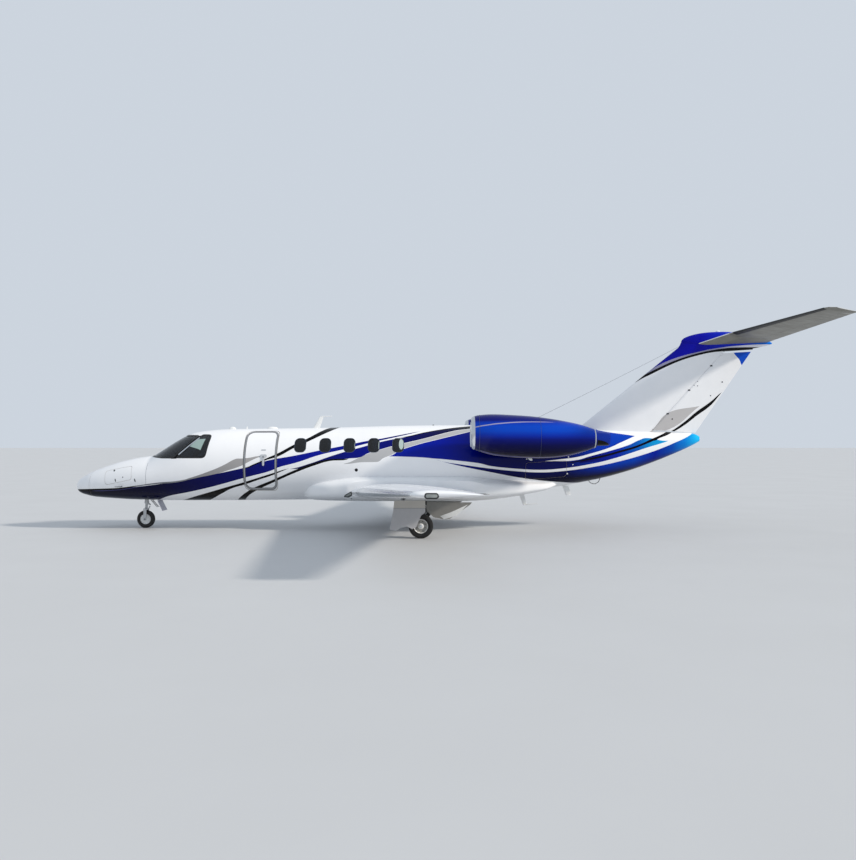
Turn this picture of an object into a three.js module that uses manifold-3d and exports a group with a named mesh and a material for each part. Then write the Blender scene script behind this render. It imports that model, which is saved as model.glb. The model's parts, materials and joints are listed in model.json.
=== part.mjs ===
// Twin-engine business jet parked on its gear. Millimetres, +X aft, +Y to starboard, +Z up.
// The origin is on the ground under the middle of the bounding box.
import * as THREE from 'three';
import { mergeVertices } from 'three/addons/utils/BufferGeometryUtils.js';
import Module from 'manifold-3d';

const wasm = await Module();
wasm.setup();
const { Manifold, Mesh: RawMesh } = wasm;

const gap = 0.3;            // between pieces that meet
const doorGap = 10;         // round a panel that opens
const surfaceGap = 10;      // round a control surface
const aroundFuselage = 28;  // points in a fuselage ring

// x, top, bottom, half width, height of the widest point
const fuselageStations = [
  [-8130, 990, 950, 22, 970], [-8112, 1043, 893, 78, 967], [-8085, 1085, 844, 122, 964],
  [-7995, 1164, 789, 205, 968], [-7885, 1226, 756, 270, 976], [-7776, 1284, 729, 330, 985],
  [-7555, 1374, 701, 412, 1010], [-7334, 1450, 685, 478, 1040], [-7115, 1517, 670, 535, 1072],
  [-6894, 1572, 657, 585, 1104], [-6673, 1616, 650, 630, 1138], [-6454, 1648, 646, 668, 1172],
  [-6343, 1663, 643, 686, 1190], [-6240, 1724, 641, 700, 1210], [-6100, 1815, 639, 718, 1240],
  [-5950, 1912, 637, 738, 1272], [-5750, 2036, 635, 762, 1322], [-5571, 2130, 634, 780, 1362],
  [-5460, 2172, 634, 788, 1385], [-5300, 2208, 635, 797, 1408], [-5129, 2233, 636, 804, 1426],
  [-4760, 2264, 637, 814, 1450], [-4000, 2278, 640, 818, 1460], [-2318, 2303, 662, 820, 1482],
  [-1000, 2340, 698, 820, 1518], [55, 2357, 722, 820, 1538], [930, 2360, 752, 812, 1556],
  [1853, 2352, 812, 754, 1592], [2558, 2330, 893, 672, 1640], [3028, 2308, 968, 612, 1675],
  [3498, 2285, 1054, 548, 1710], [3970, 2262, 1152, 482, 1745], [4364, 2245, 1256, 424, 1780],
  [4618, 2235, 1333, 386, 1805], [5055, 2218, 1487, 320, 1865], [5673, 2192, 1737, 222, 1965],
  [6092, 2155, 1936, 112, 2045], [6180, 2106, 1990, 58, 2048],
];

// x, half width, top, bottom of the belly fairing; its sides are cut flat at the wing roots
const fairingStations = [
  [-2960, 300, 1060, 760], [-2720, 640, 1090, 676], [-2420, 830, 1140, 652], [-1950, 960, 1205, 643],
  [-1600, 1050, 1235, 640], [-800, 1070, 1240, 640], [0, 1070, 1240, 640], [900, 1060, 1230, 646],
  [1400, 960, 1185, 680], [1853, 850, 1145, 738], [2250, 700, 1110, 808], [2600, 520, 1090, 878],
  [2860, 300, 1110, 975],
];

// x, height of the centre, outer radius, then the duct's stations
const nacelleOuter = [
  [852, 2160, 302], [868, 2160, 332], [930, 2162, 362], [1100, 2148, 405], [1300, 2127, 437],
  [1700, 2096, 454], [2150, 2070, 450], [2480, 2052, 428], [2860, 2040, 376], [3240, 2042, 288],
  [3523, 2046, 190],
];
const nacelleDuct = [
  [3523, 2046, 176], [3240, 2043, 205], [2700, 2050, 268], [2000, 2080, 296], [1350, 2126, 296],
  [1130, 2146, 288], [980, 2158, 276], [880, 2160, 286],
];
const nacelleY = 1350;
// distance out, front, back, height, thickness of the pylon
const pylonStations = [[450, 1380, 3380, 2040, 190], [1300, 1480, 3300, 2070, 190]];
const aroundWheel = 20;
// x, radius of the engine block, ending in the nozzle's cup
const coreProfile = [
  [1450, 0], [1450, 120], [1560, 165], [1750, 200], [2500, 205], [2900, 190], [3400, 142],
  [3810, 112], [3810, 98], [3640, 98], [3640, 0],
];

// distance out, leading edge x, chord, height of the chord line, thickness ratio
const wingStations = [
  [1000 + gap, -1724, 2690, 876, 0.122], [1120, -1672, 2592, 882, 0.116], [1400, -1610, 2526, 898, 0.113],
  [4000, -1062, 1877, 1044, 0.112], [7560, -312, 1030, 1245, 0.11], [7680, -262, 962, 1250, 0.1],
  [7728, -205, 860, 1252, 0.075], [7745, -130, 720, 1253, 0.04],
];
const camber = 0.012;
const flapSpan = [1060, 4700];
const aileronSpan = [4760, 7250];
const flapHinge = 0.72;
const aileronHinge = 0.75;

// height, leading edge x, trailing edge x, thickness
const finStations = [
  [1960, 2982, 5942, 262], [2392, 3521, 6239, 252], [3100, 4403, 6725, 216],
  [4160, 5724, 7453, 165], [4260, 5850, 7500, 160],
];
const rudderHinge = [[5094, 2222], [6760, 4044]];
// distance out, leading edge x and z, trailing edge x and z, thickness ratio
const stabStations = [
  [0, 6080, 4222, 7740, 4262, 0.05], [95, 6150, 4232, 7752, 4266, 0.052],
  [300, 6760, 4430, 7806, 4292, 0.098], [3080, 7535, 4545, 8106, 4440, 0.096],
  [3165, 7600, 4548, 8128, 4444, 0.08], [3200, 7720, 4540, 8130, 4452, 0.04],
];
const elevatorSpan = [340, 3020];
const elevatorHinge = 0.68;
// x, top, bottom, half width of the bullet at the top of the fin
const bulletStations = [
  [5774, 4300, 4280, 12], [5810, 4345, 4236, 42], [5900, 4395, 4180, 66], [6175, 4472, 4112, 96],
  [6606, 4511, 4088, 118], [6915, 4506, 4086, 124], [7300, 4460, 4108, 112], [7600, 4376, 4160, 78],
  [7800, 4290, 4210, 38], [7858, 4256, 4232, 14],
];

const cabinWindowX = [-2877, -2325, -1786, -1248, -709];
const exitWindowX = -3420;
const mainWheel = { x: -205, y: 2050, radius: 252, width: 200, rim: 145 };
const noseWheel = { x: -6552, y: 0, radius: 202, width: 112, rim: 116 };

const paint = {
  white: [0xf2f4f6, 0.25, 0.1], blue: [0x0b1a8c, 0.22, 0.3], navy: [0x06063a, 0.22, 0.3],
  metal: [0xb8bcc0, 0.3, 0.9], glass: [0x10141c, 0.08, 0.1], rubber: [0x141416, 0.85, 0],
  steel: [0x8a8d90, 0.4, 0.8], dark: [0x1c1c1f, 0.6, 0.4], gear: [0xd9dcde, 0.4, 0.2],
  leather: [0xb9a68c, 0.6, 0], panel: [0x26282b, 0.6, 0], carpet: [0x6d6457, 0.9, 0],
};

// ---- building solids ----

const [alongX, alongY, alongZ] = [[1, 0, 0], [0, 1, 0], [0, 0, 1]].map((v) => new THREE.Vector3(...v));

// The closed solid inside a geometry, its faces turned outwards.
function solidOf(geometry) {
  geometry.deleteAttribute('normal');
  geometry.deleteAttribute('uv');
  const merged = mergeVertices(geometry, 1e-3);
  const corners = Float32Array.from(merged.attributes.position.array);
  const faces = [];
  let volume = 0;
  for (let i = 0; i < merged.index.count; i += 3) {
    const [a, b, c] = [0, 1, 2].map((j) => merged.index.getX(i + j));
    if (a === b || b === c || a === c) continue;
    const [p, q, r] = [a, b, c].map((v) => new THREE.Vector3().fromArray(corners, 3 * v));
    volume += p.dot(q.cross(r));
    faces.push([a, b, c]);
  }
  const outward = volume < 0 ? faces.map(([a, b, c]) => [a, c, b]) : faces;
  const triVerts = Uint32Array.from(outward.flat());
  return new Manifold(new RawMesh({ numProp: 3, vertProperties: corners, triVerts }));
}

function geometryOf(solid) {
  const { vertProperties, triVerts } = solid.getMesh();
  const geometry = new THREE.BufferGeometry();
  geometry.setAttribute('position', new THREE.Float32BufferAttribute(vertProperties, 3));
  geometry.setIndex(new THREE.Uint32BufferAttribute(triVerts, 1));
  return geometry;
}

// Rings of equal length joined in order; closed at both ends, or back to the first ring.
function loft(rings, looped = false) {
  const n = rings[0].length;
  const points = rings.flat();
  const faces = [];
  const last = looped ? rings.length : rings.length - 1;
  for (let i = 0; i < last; i++) {
    const a = i * n;
    const b = ((i + 1) % rings.length) * n;
    for (let j = 0; j < n; j++) {
      const k = (j + 1) % n;
      faces.push(a + j, a + k, b + k, a + j, b + k, b + j);
    }
  }
  if (!looped) {
    for (const [ring, start, flip] of [[rings[0], 0, true], [rings.at(-1), (rings.length - 1) * n, false]]) {
      const middle = points.push([0, 1, 2].map((axis) => ring.reduce((s, p) => s + p[axis], 0) / n)) - 1;
      for (let j = 0; j < n; j++) {
        const k = (j + 1) % n;
        faces.push(middle, start + (flip ? k : j), start + (flip ? j : k));
      }
    }
  }
  const geometry = new THREE.BufferGeometry();
  geometry.setAttribute('position', new THREE.Float32BufferAttribute(points.flat(), 3));
  geometry.setIndex(faces);
  return solidOf(geometry);
}

// An outline in the plane of two axes, run along a third from one depth to another.
function prism(outline, [u, v, w], from, to, origin = new THREE.Vector3()) {
  const shape = new THREE.Shape(outline.map(([x, y]) => new THREE.Vector2(x, y)));
  const geometry = new THREE.ExtrudeGeometry(shape, { depth: to - from, bevelEnabled: false });
  geometry.translate(0, 0, from);
  return solidOf(geometry.applyMatrix4(new THREE.Matrix4().makeBasis(u, v, w).setPosition(origin)));
}
const sideView = [alongX, alongZ, alongY];
const planView = [alongX, alongY, alongZ];

function box(low, high) {
  const size = low.map((value, axis) => high[axis] - value);
  const middle = low.map((value, axis) => value + size[axis] / 2);
  return solidOf(new THREE.BoxGeometry(...size).translate(...middle));
}

// A round bar, or a cone when its two radii differ.
function rod(start, end, radius, endRadius = radius, around = 10) {
  const a = new THREE.Vector3(...start);
  const b = new THREE.Vector3(...end);
  const turn = new THREE.Quaternion().setFromUnitVectors(alongY, b.clone().sub(a).normalize());
  const geometry = new THREE.CylinderGeometry(endRadius, radius, a.distanceTo(b), around);
  geometry.applyQuaternion(turn).translate(...a.add(b).divideScalar(2).toArray());
  return solidOf(geometry);
}

// A profile of [along, radius] turned about a line through a point.
function turned(profile, line, point, around) {
  const outline = profile[0][1] === 0 ? profile : [...profile, profile[0]];
  const points = outline.map(([along, radius]) => new THREE.Vector2(radius, along));
  const geometry = new THREE.LatheGeometry(points, around);
  const across = line.y === 0 ? alongY : alongX;
  const placed = new THREE.Matrix4().makeBasis(across, line, alongZ).setPosition(point);
  return solidOf(geometry.applyMatrix4(placed));
}

const joined = (...solids) => solids.flat().reduce((sum, next) => sum.add(next));

// The same solid on the other side of the aircraft.
function mirrored(solid) {
  return solidOf(geometryOf(solid).scale(1, -1, 1));
}

function rounded(x0, z0, x1, z1, radii, steps = 4) {
  const corners = [[x1, z1, 0], [x0, z1, 1], [x0, z0, 2], [x1, z0, 3]];
  return corners.flatMap(([x, z, quarter], i) => {
    const r = radii[i];
    const cx = x + (x === x1 ? -r : r);
    const cz = z + (z === z1 ? -r : r);
    return Array.from({ length: steps + 1 }, (_, s) => {
      const t = ((quarter + s / steps) * Math.PI) / 2;
      return [cx + r * Math.cos(t), cz + r * Math.sin(t)];
    });
  });
}

// ---- fuselage ----

// Value of one column of a table at x, on a smooth curve through its rows.
function smooth(rows, column, x) {
  let i = rows.findIndex((row) => row[0] >= x);
  i = Math.min(Math.max(i, 1), rows.length - 1);
  const [p, q] = [rows[i - 1], rows[i]];
  const slope = (a, b) => (b[column] - a[column]) / (b[0] - a[0]);
  const before = i > 1 ? (slope(rows[i - 2], p) + slope(p, q)) / 2 : slope(p, q);
  const after = i + 1 < rows.length ? (slope(p, q) + slope(q, rows[i + 1])) / 2 : slope(p, q);
  const h = q[0] - p[0];
  const t = Math.min(Math.max((x - p[0]) / h, 0), 1);
  return p[column] * (1 + 2 * t) * (1 - t) ** 2 + before * h * t * (1 - t) ** 2
    + q[column] * t * t * (3 - 2 * t) + after * h * t * t * (t - 1);
}

function fuselageRing(x, inset, around = aroundFuselage) {
  const [top, bottom, half, middle] = [1, 2, 3, 4].map((c) => smooth(fuselageStations, c, x));
  return Array.from({ length: around }, (_, i) => {
    const t = (2 * Math.PI * i) / around;
    const height = Math.sin(t) > 0 ? top - inset - middle : middle - bottom - inset;
    return [x, (half - inset) * Math.cos(t), middle + Math.max(height, 2) * Math.sin(t)];
  });
}

const extraRings = [-4600, -4400, -3200, -1650, 500, 1250, 1400];
const ringPlaces = [...new Set([...fuselageStations.map((row) => row[0]), ...extraRings])]
  .sort((a, b) => a - b);

// The fuselage's body from one x to another, drawn in by an inset.
function hull(from, to, inset = 0) {
  const places = [from, ...ringPlaces.filter((x) => x > from + 20 && x < to - 20), to];
  return loft(places.map((x) => fuselageRing(x, inset)));
}

const cockpitPlaces = [-6230, -5950, -5571, -5400, -5129, -4500];

// A hollow inside it, with fewer rings and points.
function hollow(places, inset) {
  return loft(places.map((x) => fuselageRing(x, inset, 16)));
}

// ---- openings in the fuselage ----

const windshieldOutline = [
  [-6362, 1640], [-6200, 1628], [-5990, 1616], [-5748, 1616], [-5158, 2120], [-5575, 2128],
  [-5760, 2260], [-6500, 1850],
];
const sideWindowOutline = [
  [-5672, 1618], [-5040, 1618], [-4985, 1650], [-4962, 1705], [-4870, 2080], [-4885, 2125],
  [-4935, 2142], [-5080, 2142],
];
const cabinWindowOutline = (x, spare = 0) => rounded(
  x - 125 - spare, 1748 - spare, x + 125 + spare, 2068 + spare, [95, 95, 90, 90], 2);

// One depth layer of the cabin door: x, and the distance along the hinge line from its middle.
// Deeper layers stop shorter at the aft edge so that the door swings clear.
const doorOutline = (layer, spare) => rounded(
  -4130 - spare, -668 - spare, -3395 + spare - 30 * layer, 676 + spare, [110, 160, 130, 100], 2);
const doorHinge = new THREE.Vector3(0, -824, 1630);
const doorLine = new THREE.Vector3(0, 0.2019, 0.9794);
const doorView = [alongX, doorLine, alongX.clone().cross(doorLine)];
const doorLayers = 3;
const wall = 60;

function doorCut(spare) {
  return joined(Array.from({ length: doorLayers }, (_, layer) => {
    const outer = layer === 0 ? -40 : (wall / doorLayers) * layer - 1;
    const inner = layer === doorLayers - 1 ? wall + 40 : (wall / doorLayers) * (layer + 1) + spare / 2;
    const shell = hull(-4400, -3200, outer).subtract(hull(-4401, -3199, inner));
    return shell.intersect(prism(doorOutline(layer, spare), doorView, -620, 300, doorHinge));
  }));
}

// The same outline with every edge moved inwards.
function drawnIn(outline, by) {
  const turn = Math.sign(outline.reduce((s, [x, z], i) => {
    const [x1, z1] = outline[(i + 1) % outline.length];
    return s + x * z1 - x1 * z;
  }, 0));
  return outline.map(([x, z], i) => {
    const [px, pz] = outline.at(i - 1);
    const [qx, qz] = outline[(i + 1) % outline.length];
    const before = new THREE.Vector2(x - px, z - pz).normalize();
    const after = new THREE.Vector2(qx - x, qz - z).normalize();
    const middle = new THREE.Vector2(-before.y - after.y, before.x + after.x).normalize();
    const long = (turn * by) / (middle.x * -after.y + middle.y * after.x);
    return [x + middle.x * long, z + middle.y * long];
  });
}

const side = (outline, from = -1000, to = -40) => prism(outline, sideView, from, to);
const both = (solid) => solid.add(mirrored(solid));

// An opening cut square to its hinge line on the port side: along the line, across it and inwards.
function hingedCut({ start, end, down, reach, depth }, spare) {
  const a = new THREE.Vector3(...start);
  const b = new THREE.Vector3(...end);
  const u = b.clone().sub(a).normalize();
  const v = new THREE.Vector3(...down);
  v.addScaledVector(u, -v.dot(u)).normalize();
  const w = u.clone().cross(v).normalize();
  if (w.y < 0) w.negate();
  const long = b.distanceTo(a);
  const outline = rounded(-spare, -spare, long + spare, reach + spare, [60, 60, 60, 60], 2);
  return prism(outline, [u, v, w], -300, depth + spare, a);
}
const noseDoor = {
  start: [-7330, -376, 1318], end: [-6690, -500, 1438], down: [0, -0.4, -1], reach: 330, depth: 60,
};
const aftDoor = {
  start: [2110, -585, 1130], end: [3030, -458, 1190], down: [0, -0.36, 1], reach: 400, depth: 60,
};

// ---- parts of the fuselage ----

function fuselageParts() {
  const radome = hull(-8130, -7720);
  const noseWell = box([-6640, -120, 500], [-6300, 120, 940]);
  const noseCut = (spare) => both(hingedCut(noseDoor, spare));
  const bay = hollow([-7650, -7334, -7000, -6660], 40)
    .intersect(box([-7700, -900, 985], [-6600, 900, 1700]));
  const noseShell = hull(-7720 + gap, -6594).subtract(bay);
  const noseBox = hull(-7719, -6595).subtract(bay);
  const noseDoors = noseBox.intersect(noseCut(0)).decompose().sort((p, q) => q.volume() - p.volume());
  const leftNoseDoor = noseDoors.slice(0, 2).find((d) => d.boundingBox().max[1] < 0);
  const noseSection = noseShell.subtract(noseCut(doorGap)).subtract(noseWell);

  const footwell = hollow([-6440, -6200], wall).intersect(box([-6500, -900, 1420], [-6100, 900, 2000]));
  const cavity = hollow(cockpitPlaces, wall);
  const cockpit = hull(-6594 + gap, -4600).subtract(cavity.add(footwell));
  const panes = (spare) => joined(
    side(windshieldOutline, -1000, -38 + spare), side(sideWindowOutline, -1000, -100));
  const cockpitSection = cockpit.subtract(both(panes(0))).subtract(noseWell);
  const glassSkin = hull(-6560, -4700, 4).subtract(hull(-6561, -4699, 26));
  const largest = (solid) => solid.decompose().sort((p, q) => q.volume() - p.volume())[0];
  const windshield = largest(glassSkin.intersect(side(drawnIn(windshieldOutline, 1.5), -1000, -39.5)));
  const sideWindow = largest(glassSkin.intersect(side(drawnIn(sideWindowOutline, 1.5), -1000, -101)));

  const cabin = hull(-4600 + gap, 1250).subtract(hull(-4700, 1180, wall));
  const windows = cabinWindowX.map((x) => side(cabinWindowOutline(x), -1000, -300));
  const exitWindow = mirrored(side(cabinWindowOutline(exitWindowX), -1000, -300));
  const openings = joined(both(joined(windows)), exitWindow, doorCut(doorGap + 3));
  const cabinSection = cabin.subtract(openings);
  const door = hull(-4400, -3200).subtract(hull(-4401, -3199, wall)).intersect(doorCut(0));
  const pane = hull(-4000, 55, 16).subtract(hull(-4001, 56, wall + 12));
  const strip = hull(-4000, 55, wall + gap).subtract(hull(-4001, 56, wall + 12));
  const glazing = (xs) => joined(
    pane.intersect(joined(xs.map((x) => side(cabinWindowOutline(x, -gap), -1000, -300)))),
    strip.intersect(box([Math.min(...xs) - 160, -1000, 1716], [Math.max(...xs) + 160, -300, 1772])));
  const leftGlazing = glazing(cabinWindowX);
  const rightGlazing = mirrored(glazing([exitWindowX, ...cabinWindowX]));

  const tail = hull(1250 + gap, 6180).subtract(hollow([1200, 2000, 3028, 4000, 4700], 38));
  const aftCut = (spare) => hingedCut(aftDoor, spare);
  const aftFuselage = tail.subtract(aftCut(doorGap));
  const aftBaggageDoor = largest(tail.intersect(aftCut(0)));
  return {
    radome: [radome, paint.white],
    nose_section: [noseSection, paint.white],
    nose_baggage_door_left: [leftNoseDoor, paint.white],
    nose_baggage_door_right: [mirrored(leftNoseDoor), paint.white],
    cockpit_section: [cockpitSection, paint.white],
    windshield_left: [windshield, paint.glass],
    windshield_right: [mirrored(windshield), paint.glass],
    side_window_left: [sideWindow, paint.glass],
    side_window_right: [mirrored(sideWindow), paint.glass],
    cabin_section: [cabinSection, paint.white],
    cabin_door: [door, paint.white],
    cabin_windows_left: [leftGlazing, paint.glass],
    cabin_windows_right: [rightGlazing, paint.glass],
    aft_fuselage: [aftFuselage, paint.white],
    aft_baggage_door: [aftBaggageDoor, paint.white],
  };
}

// ---- cabin fittings ----

function seat(x, y, facing, width = 420) {
  const f = facing;
  const part = (x0, x1, half, z0, z1) => box(
    [Math.min(x + f * x0, x + f * x1), y - half, z0], [Math.max(x + f * x0, x + f * x1), y + half, z1]);
  const back = prism(
    [[x + f * 180, 1130], [x + f * 290, 1130], [x + f * 400, 1720], [x + f * 310, 1740]], sideView,
    y - width / 2 + 30, y + width / 2 - 30);
  return joined(part(-250, 270, width / 2, 1060, 1190), part(-140, 160, width / 4, 930 + gap, 1070), back);
}

function fittings() {
  const ahead = hollow(cockpitPlaces, wall + gap).intersect(box([-6300, -900, 600], [-4600, 900, 2300]));
  const inside = ahead.add(hull(-4600, 1170, wall + gap));
  const sill = hull(-4400, -3200, wall).subtract(hull(-4401, -3199, wall + doorGap))
    .intersect(box([-4150, -900, 800], [-3375, 0, 1000]));
  const floor = box([-6210, -800, 870], [1160, 800, 930]).intersect(inside).subtract(sill);
  const row = joined(
    ...[[-2900, -1], [-1500, 1], [-300, 1]].map(([x, facing]) => seat(x, -345, facing)),
    box([-3000, -350, 930 + gap], [-200, -320, 950]));
  const panel = joined(
    box([-5900, -640, 1130], [-5780, 640, 1560]), box([-6190, -640, 1530], [-5700, 640, 1600]),
    box([-5880, -110, 930 + gap], [-5350, 110, 1180])).intersect(ahead);
  return {
    cabin_floor: [floor, paint.carpet],
    cabin_seats_left: [row, paint.leather],
    cabin_seats_right: [mirrored(row), paint.leather],
    cockpit_seat_left: [seat(-5000, -330, 1), paint.leather],
    cockpit_seat_right: [seat(-5000, 330, 1), paint.leather],
    instrument_panel: [panel, paint.panel],
  };
}

// ---- wings and tail ----

const meanLine = (t) => 4 * camber * t * (1 - t);
const halfThick = (t, ratio) => 5 * ratio
  * (0.2969 * Math.sqrt(t) - 0.126 * t - 0.3516 * t * t + 0.2843 * t ** 3 - 0.1015 * t ** 4);
const chordSteps = [1, 0.84, 0.66, 0.48, 0.3, 0.17, 0.08, 0.025, 0.003];
const tailSteps = [1, 0.8, 0.55, 0.3, 0.12, 0.035, 0.004];

// The outline of a wing section as (fraction of chord, height over chord).
function section(ratio, bend, edge, steps = chordSteps) {
  const at = (side) => (t) => [t, bend * meanLine(t) + side * Math.max(halfThick(t, ratio), edge)];
  const upper = steps.map(at(1));
  const lower = [...steps].reverse().map(at(-1));
  return [...upper, [0, 0], ...lower];
}

const between = (rows, at) => {
  const i = Math.min(Math.max(rows.findIndex((row) => row[0] >= at), 1), rows.length - 1);
  const t = (at - rows[i - 1][0]) / (rows[i][0] - rows[i - 1][0]);
  return rows[i].map((value, c) => rows[i - 1][c] + t * (value - rows[i - 1][c]));
};

// A control surface and the cove it leaves: its nose is round about the hinge line.
function splitSurface(whole, plan, hinge, spanGap) {
  const nose = (grow, a, b) => rod(a.point, b.point, a.radius + grow, b.radius + grow, 24);
  const [a, b] = hinge;
  const stretch = (p, q, by) => {
    const d = new THREE.Vector3(...q.point).sub(new THREE.Vector3(...p.point));
    const t = by / d.length();
    return { point: new THREE.Vector3(...q.point).addScaledVector(d, t).toArray(), radius: q.radius };
  };
  const surface = whole.intersect(plan(0)).add(nose(-0.5, a, b));
  const cove = plan(spanGap).add(nose(surfaceGap, stretch(b, a, spanGap), stretch(a, b, spanGap)));
  return { surface, cove };
}

function wingParts() {
  const ring = ([y, x, chord, z, ratio]) => section(ratio, 1, 3 / chord)
    .map(([t, h]) => [x + t * chord, -y, z + h * chord]);
  const wing = loft(wingStations.map(ring));
  const hingeAt = (y, part) => {
    const [, x, chord, z, ratio] = between(wingStations, y);
    const point = [x + part * chord, -y, z + meanLine(part) * chord];
    return { point, radius: halfThick(part, ratio) * chord };
  };
  const cut = (span, part) => {
    const hinge = span.map((y) => hingeAt(y, part));
    const plan = (spare) => prism([
      [hinge[0].point[0], -span[0] + spare], [1400, -span[0] + spare],
      [1400, -span[1] - spare], [hinge[1].point[0], -span[1] - spare]], planView, 400, 1700);
    return splitSurface(wing, plan, hinge, surfaceGap);
  };
  const flap = cut(flapSpan, flapHinge);
  const aileron = cut(aileronSpan, aileronHinge);
  const recess = box([-680, -2260, 500], [-440, -1240, 850]);
  const fixed = wing.subtract(flap.cove).subtract(aileron.cove).subtract(recess);
  return {
    wing_left: [fixed, paint.white], wing_right: [mirrored(fixed), paint.white],
    flap_left: [flap.surface, paint.white], flap_right: [mirrored(flap.surface), paint.white],
    aileron_left: [aileron.surface, paint.white], aileron_right: [mirrored(aileron.surface), paint.white],
  };
}

function bullet(inset = 0) {
  return loft(bulletStations.map(([x, top, bottom, half]) => Array.from({ length: 16 }, (_, i) => {
    const t = (2 * Math.PI * i) / 16;
    const [tall, middle] = [(top - bottom) / 2 - inset, (top + bottom) / 2];
    return [x, (half - inset) * Math.cos(t), middle + tall * Math.sin(t)];
  })));
}

function finParts() {
  const fin = loft(finStations.map(([z, front, back, thick]) => section(
    thick / (back - front), 0, 3 / (back - front), tailSteps)
    .map(([t, h]) => [front + t * (back - front), h * (back - front), z])));
  const hingeAt = ([x, z]) => {
    const [, front, back, thick] = between(finStations, z);
    const t = (x - front) / (back - front);
    return { point: [x, 0, z], radius: halfThick(t, thick / (back - front)) * (back - front) };
  };
  const slope = (rudderHinge[1][0] - rudderHinge[0][0]) / (rudderHinge[1][1] - rudderHinge[0][1]);
  const hingeX = (z) => rudderHinge[0][0] + slope * (z - rudderHinge[0][1]);
  const region = ([lowHinge, lowAft], [highHinge, highAft]) => prism([
    [hingeX(lowHinge), lowHinge], [7600, lowAft], [7800, highAft], [hingeX(highHinge), highHinge],
  ], sideView, -400, 400);
  const ends = [2250, 4030].map((z) => hingeAt([hingeX(z), z]));
  const plan = (spare) => (spare ? region([2100, 2000], [4060, 4128]) : region([2250, 2085], [4036, 4088]));
  const { surface, cove } = splitSurface(fin, plan, ends, 24);
  const keep = prism([
    [4000, 2243], [5100, 2243], [7600, 2098], [7900, 4084], [6800, 4018], [5000, 4018],
  ], sideView, -400, 400);
  const fixed = fin.subtract(cove).subtract(hull(2500, 6180, -gap)).subtract(bullet(-gap))
    .intersect(box([2000, -400, 1900], [8000, 400, 4300]));
  return {
    fin: [fixed.decompose().sort((p, q) => q.volume() - p.volume())[0], paint.white],
    rudder: [surface.intersect(keep), paint.white],
  };
}

function stabParts() {
  const ring = (sign) => ([y, x0, z0, x1, z1, ratio]) => section(ratio, 0, 2.5 / (x1 - x0), tailSteps)
    .map(([t, h]) => [x0 + t * (x1 - x0), sign * y, z0 + t * (z1 - z0) + h * (x1 - x0)]);
  const half = loft(stabStations.map(ring(-1)));
  const hingeAt = (y) => {
    const [, x0, z0, x1, z1, ratio] = between(stabStations, y);
    const t = elevatorHinge;
    return { point: [x0 + t * (x1 - x0), -y, z0 + t * (z1 - z0)], radius: halfThick(t, ratio) * (x1 - x0) };
  };
  const hinge = elevatorSpan.map(hingeAt);
  const plan = (spare) => prism([
    [hinge[0].point[0], -elevatorSpan[0] + spare], [8300, -elevatorSpan[0] + spare],
    [8300, -elevatorSpan[1] - spare], [hinge[1].point[0], -elevatorSpan[1] - spare]], planView, 4000, 4800);
  const { surface, cove } = splitSurface(half, plan, hinge, surfaceGap);
  const fixed = half.subtract(cove);
  return {
    stabilizer: [joined(fixed, mirrored(fixed), bullet()), paint.blue],
    elevator_left: [surface, paint.white], elevator_right: [mirrored(surface), paint.white],
  };
}

// ---- engines ----

function nacelleRing([x, z, r], grow = 0) {
  return Array.from({ length: 22 }, (_, i) => {
    const t = (2 * Math.PI * i) / 22;
    return [x, -nacelleY + (r + grow) * Math.cos(t), z + (r + grow) * Math.sin(t)];
  });
}

const engineZ = (x) => 2130 - (x - 1300) * 0.0385;
const engineLine = (x, across, up) => [x, -nacelleY + across, engineZ(x) + up];
const engineAxis = new THREE.Vector3(1, 0, -0.0385);
const engineOrigin = new THREE.Vector3(0, -nacelleY, engineZ(0));

function fan() {
  const hub = turned([[1140, 0], [1148, 34], [1190, 76], [1255, 104], [1380, 108], [1380, 0]],
    engineAxis, engineOrigin, 12);
  const count = 10;
  const pitch = 0.8;
  const blades = Array.from({ length: count }, (_, i) => {
    const t = (2 * Math.PI * i) / count;
    const blade = (r, half, thick) => [[-1, -1], [1, -1], [1, 1], [-1, 1]].map(([a, b]) => {
      const along = 1290 + a * half * Math.cos(pitch) - b * thick * Math.sin(pitch);
      const turn = a * half * Math.sin(pitch) + b * thick * Math.cos(pitch);
      return engineLine(along, r * Math.cos(t) - turn * Math.sin(t), r * Math.sin(t) + turn * Math.cos(t));
    });
    return loft([blade(70, 40, 6), blade(278, 50, 4)]);
  });
  return joined(hub, blades);
}

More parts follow.
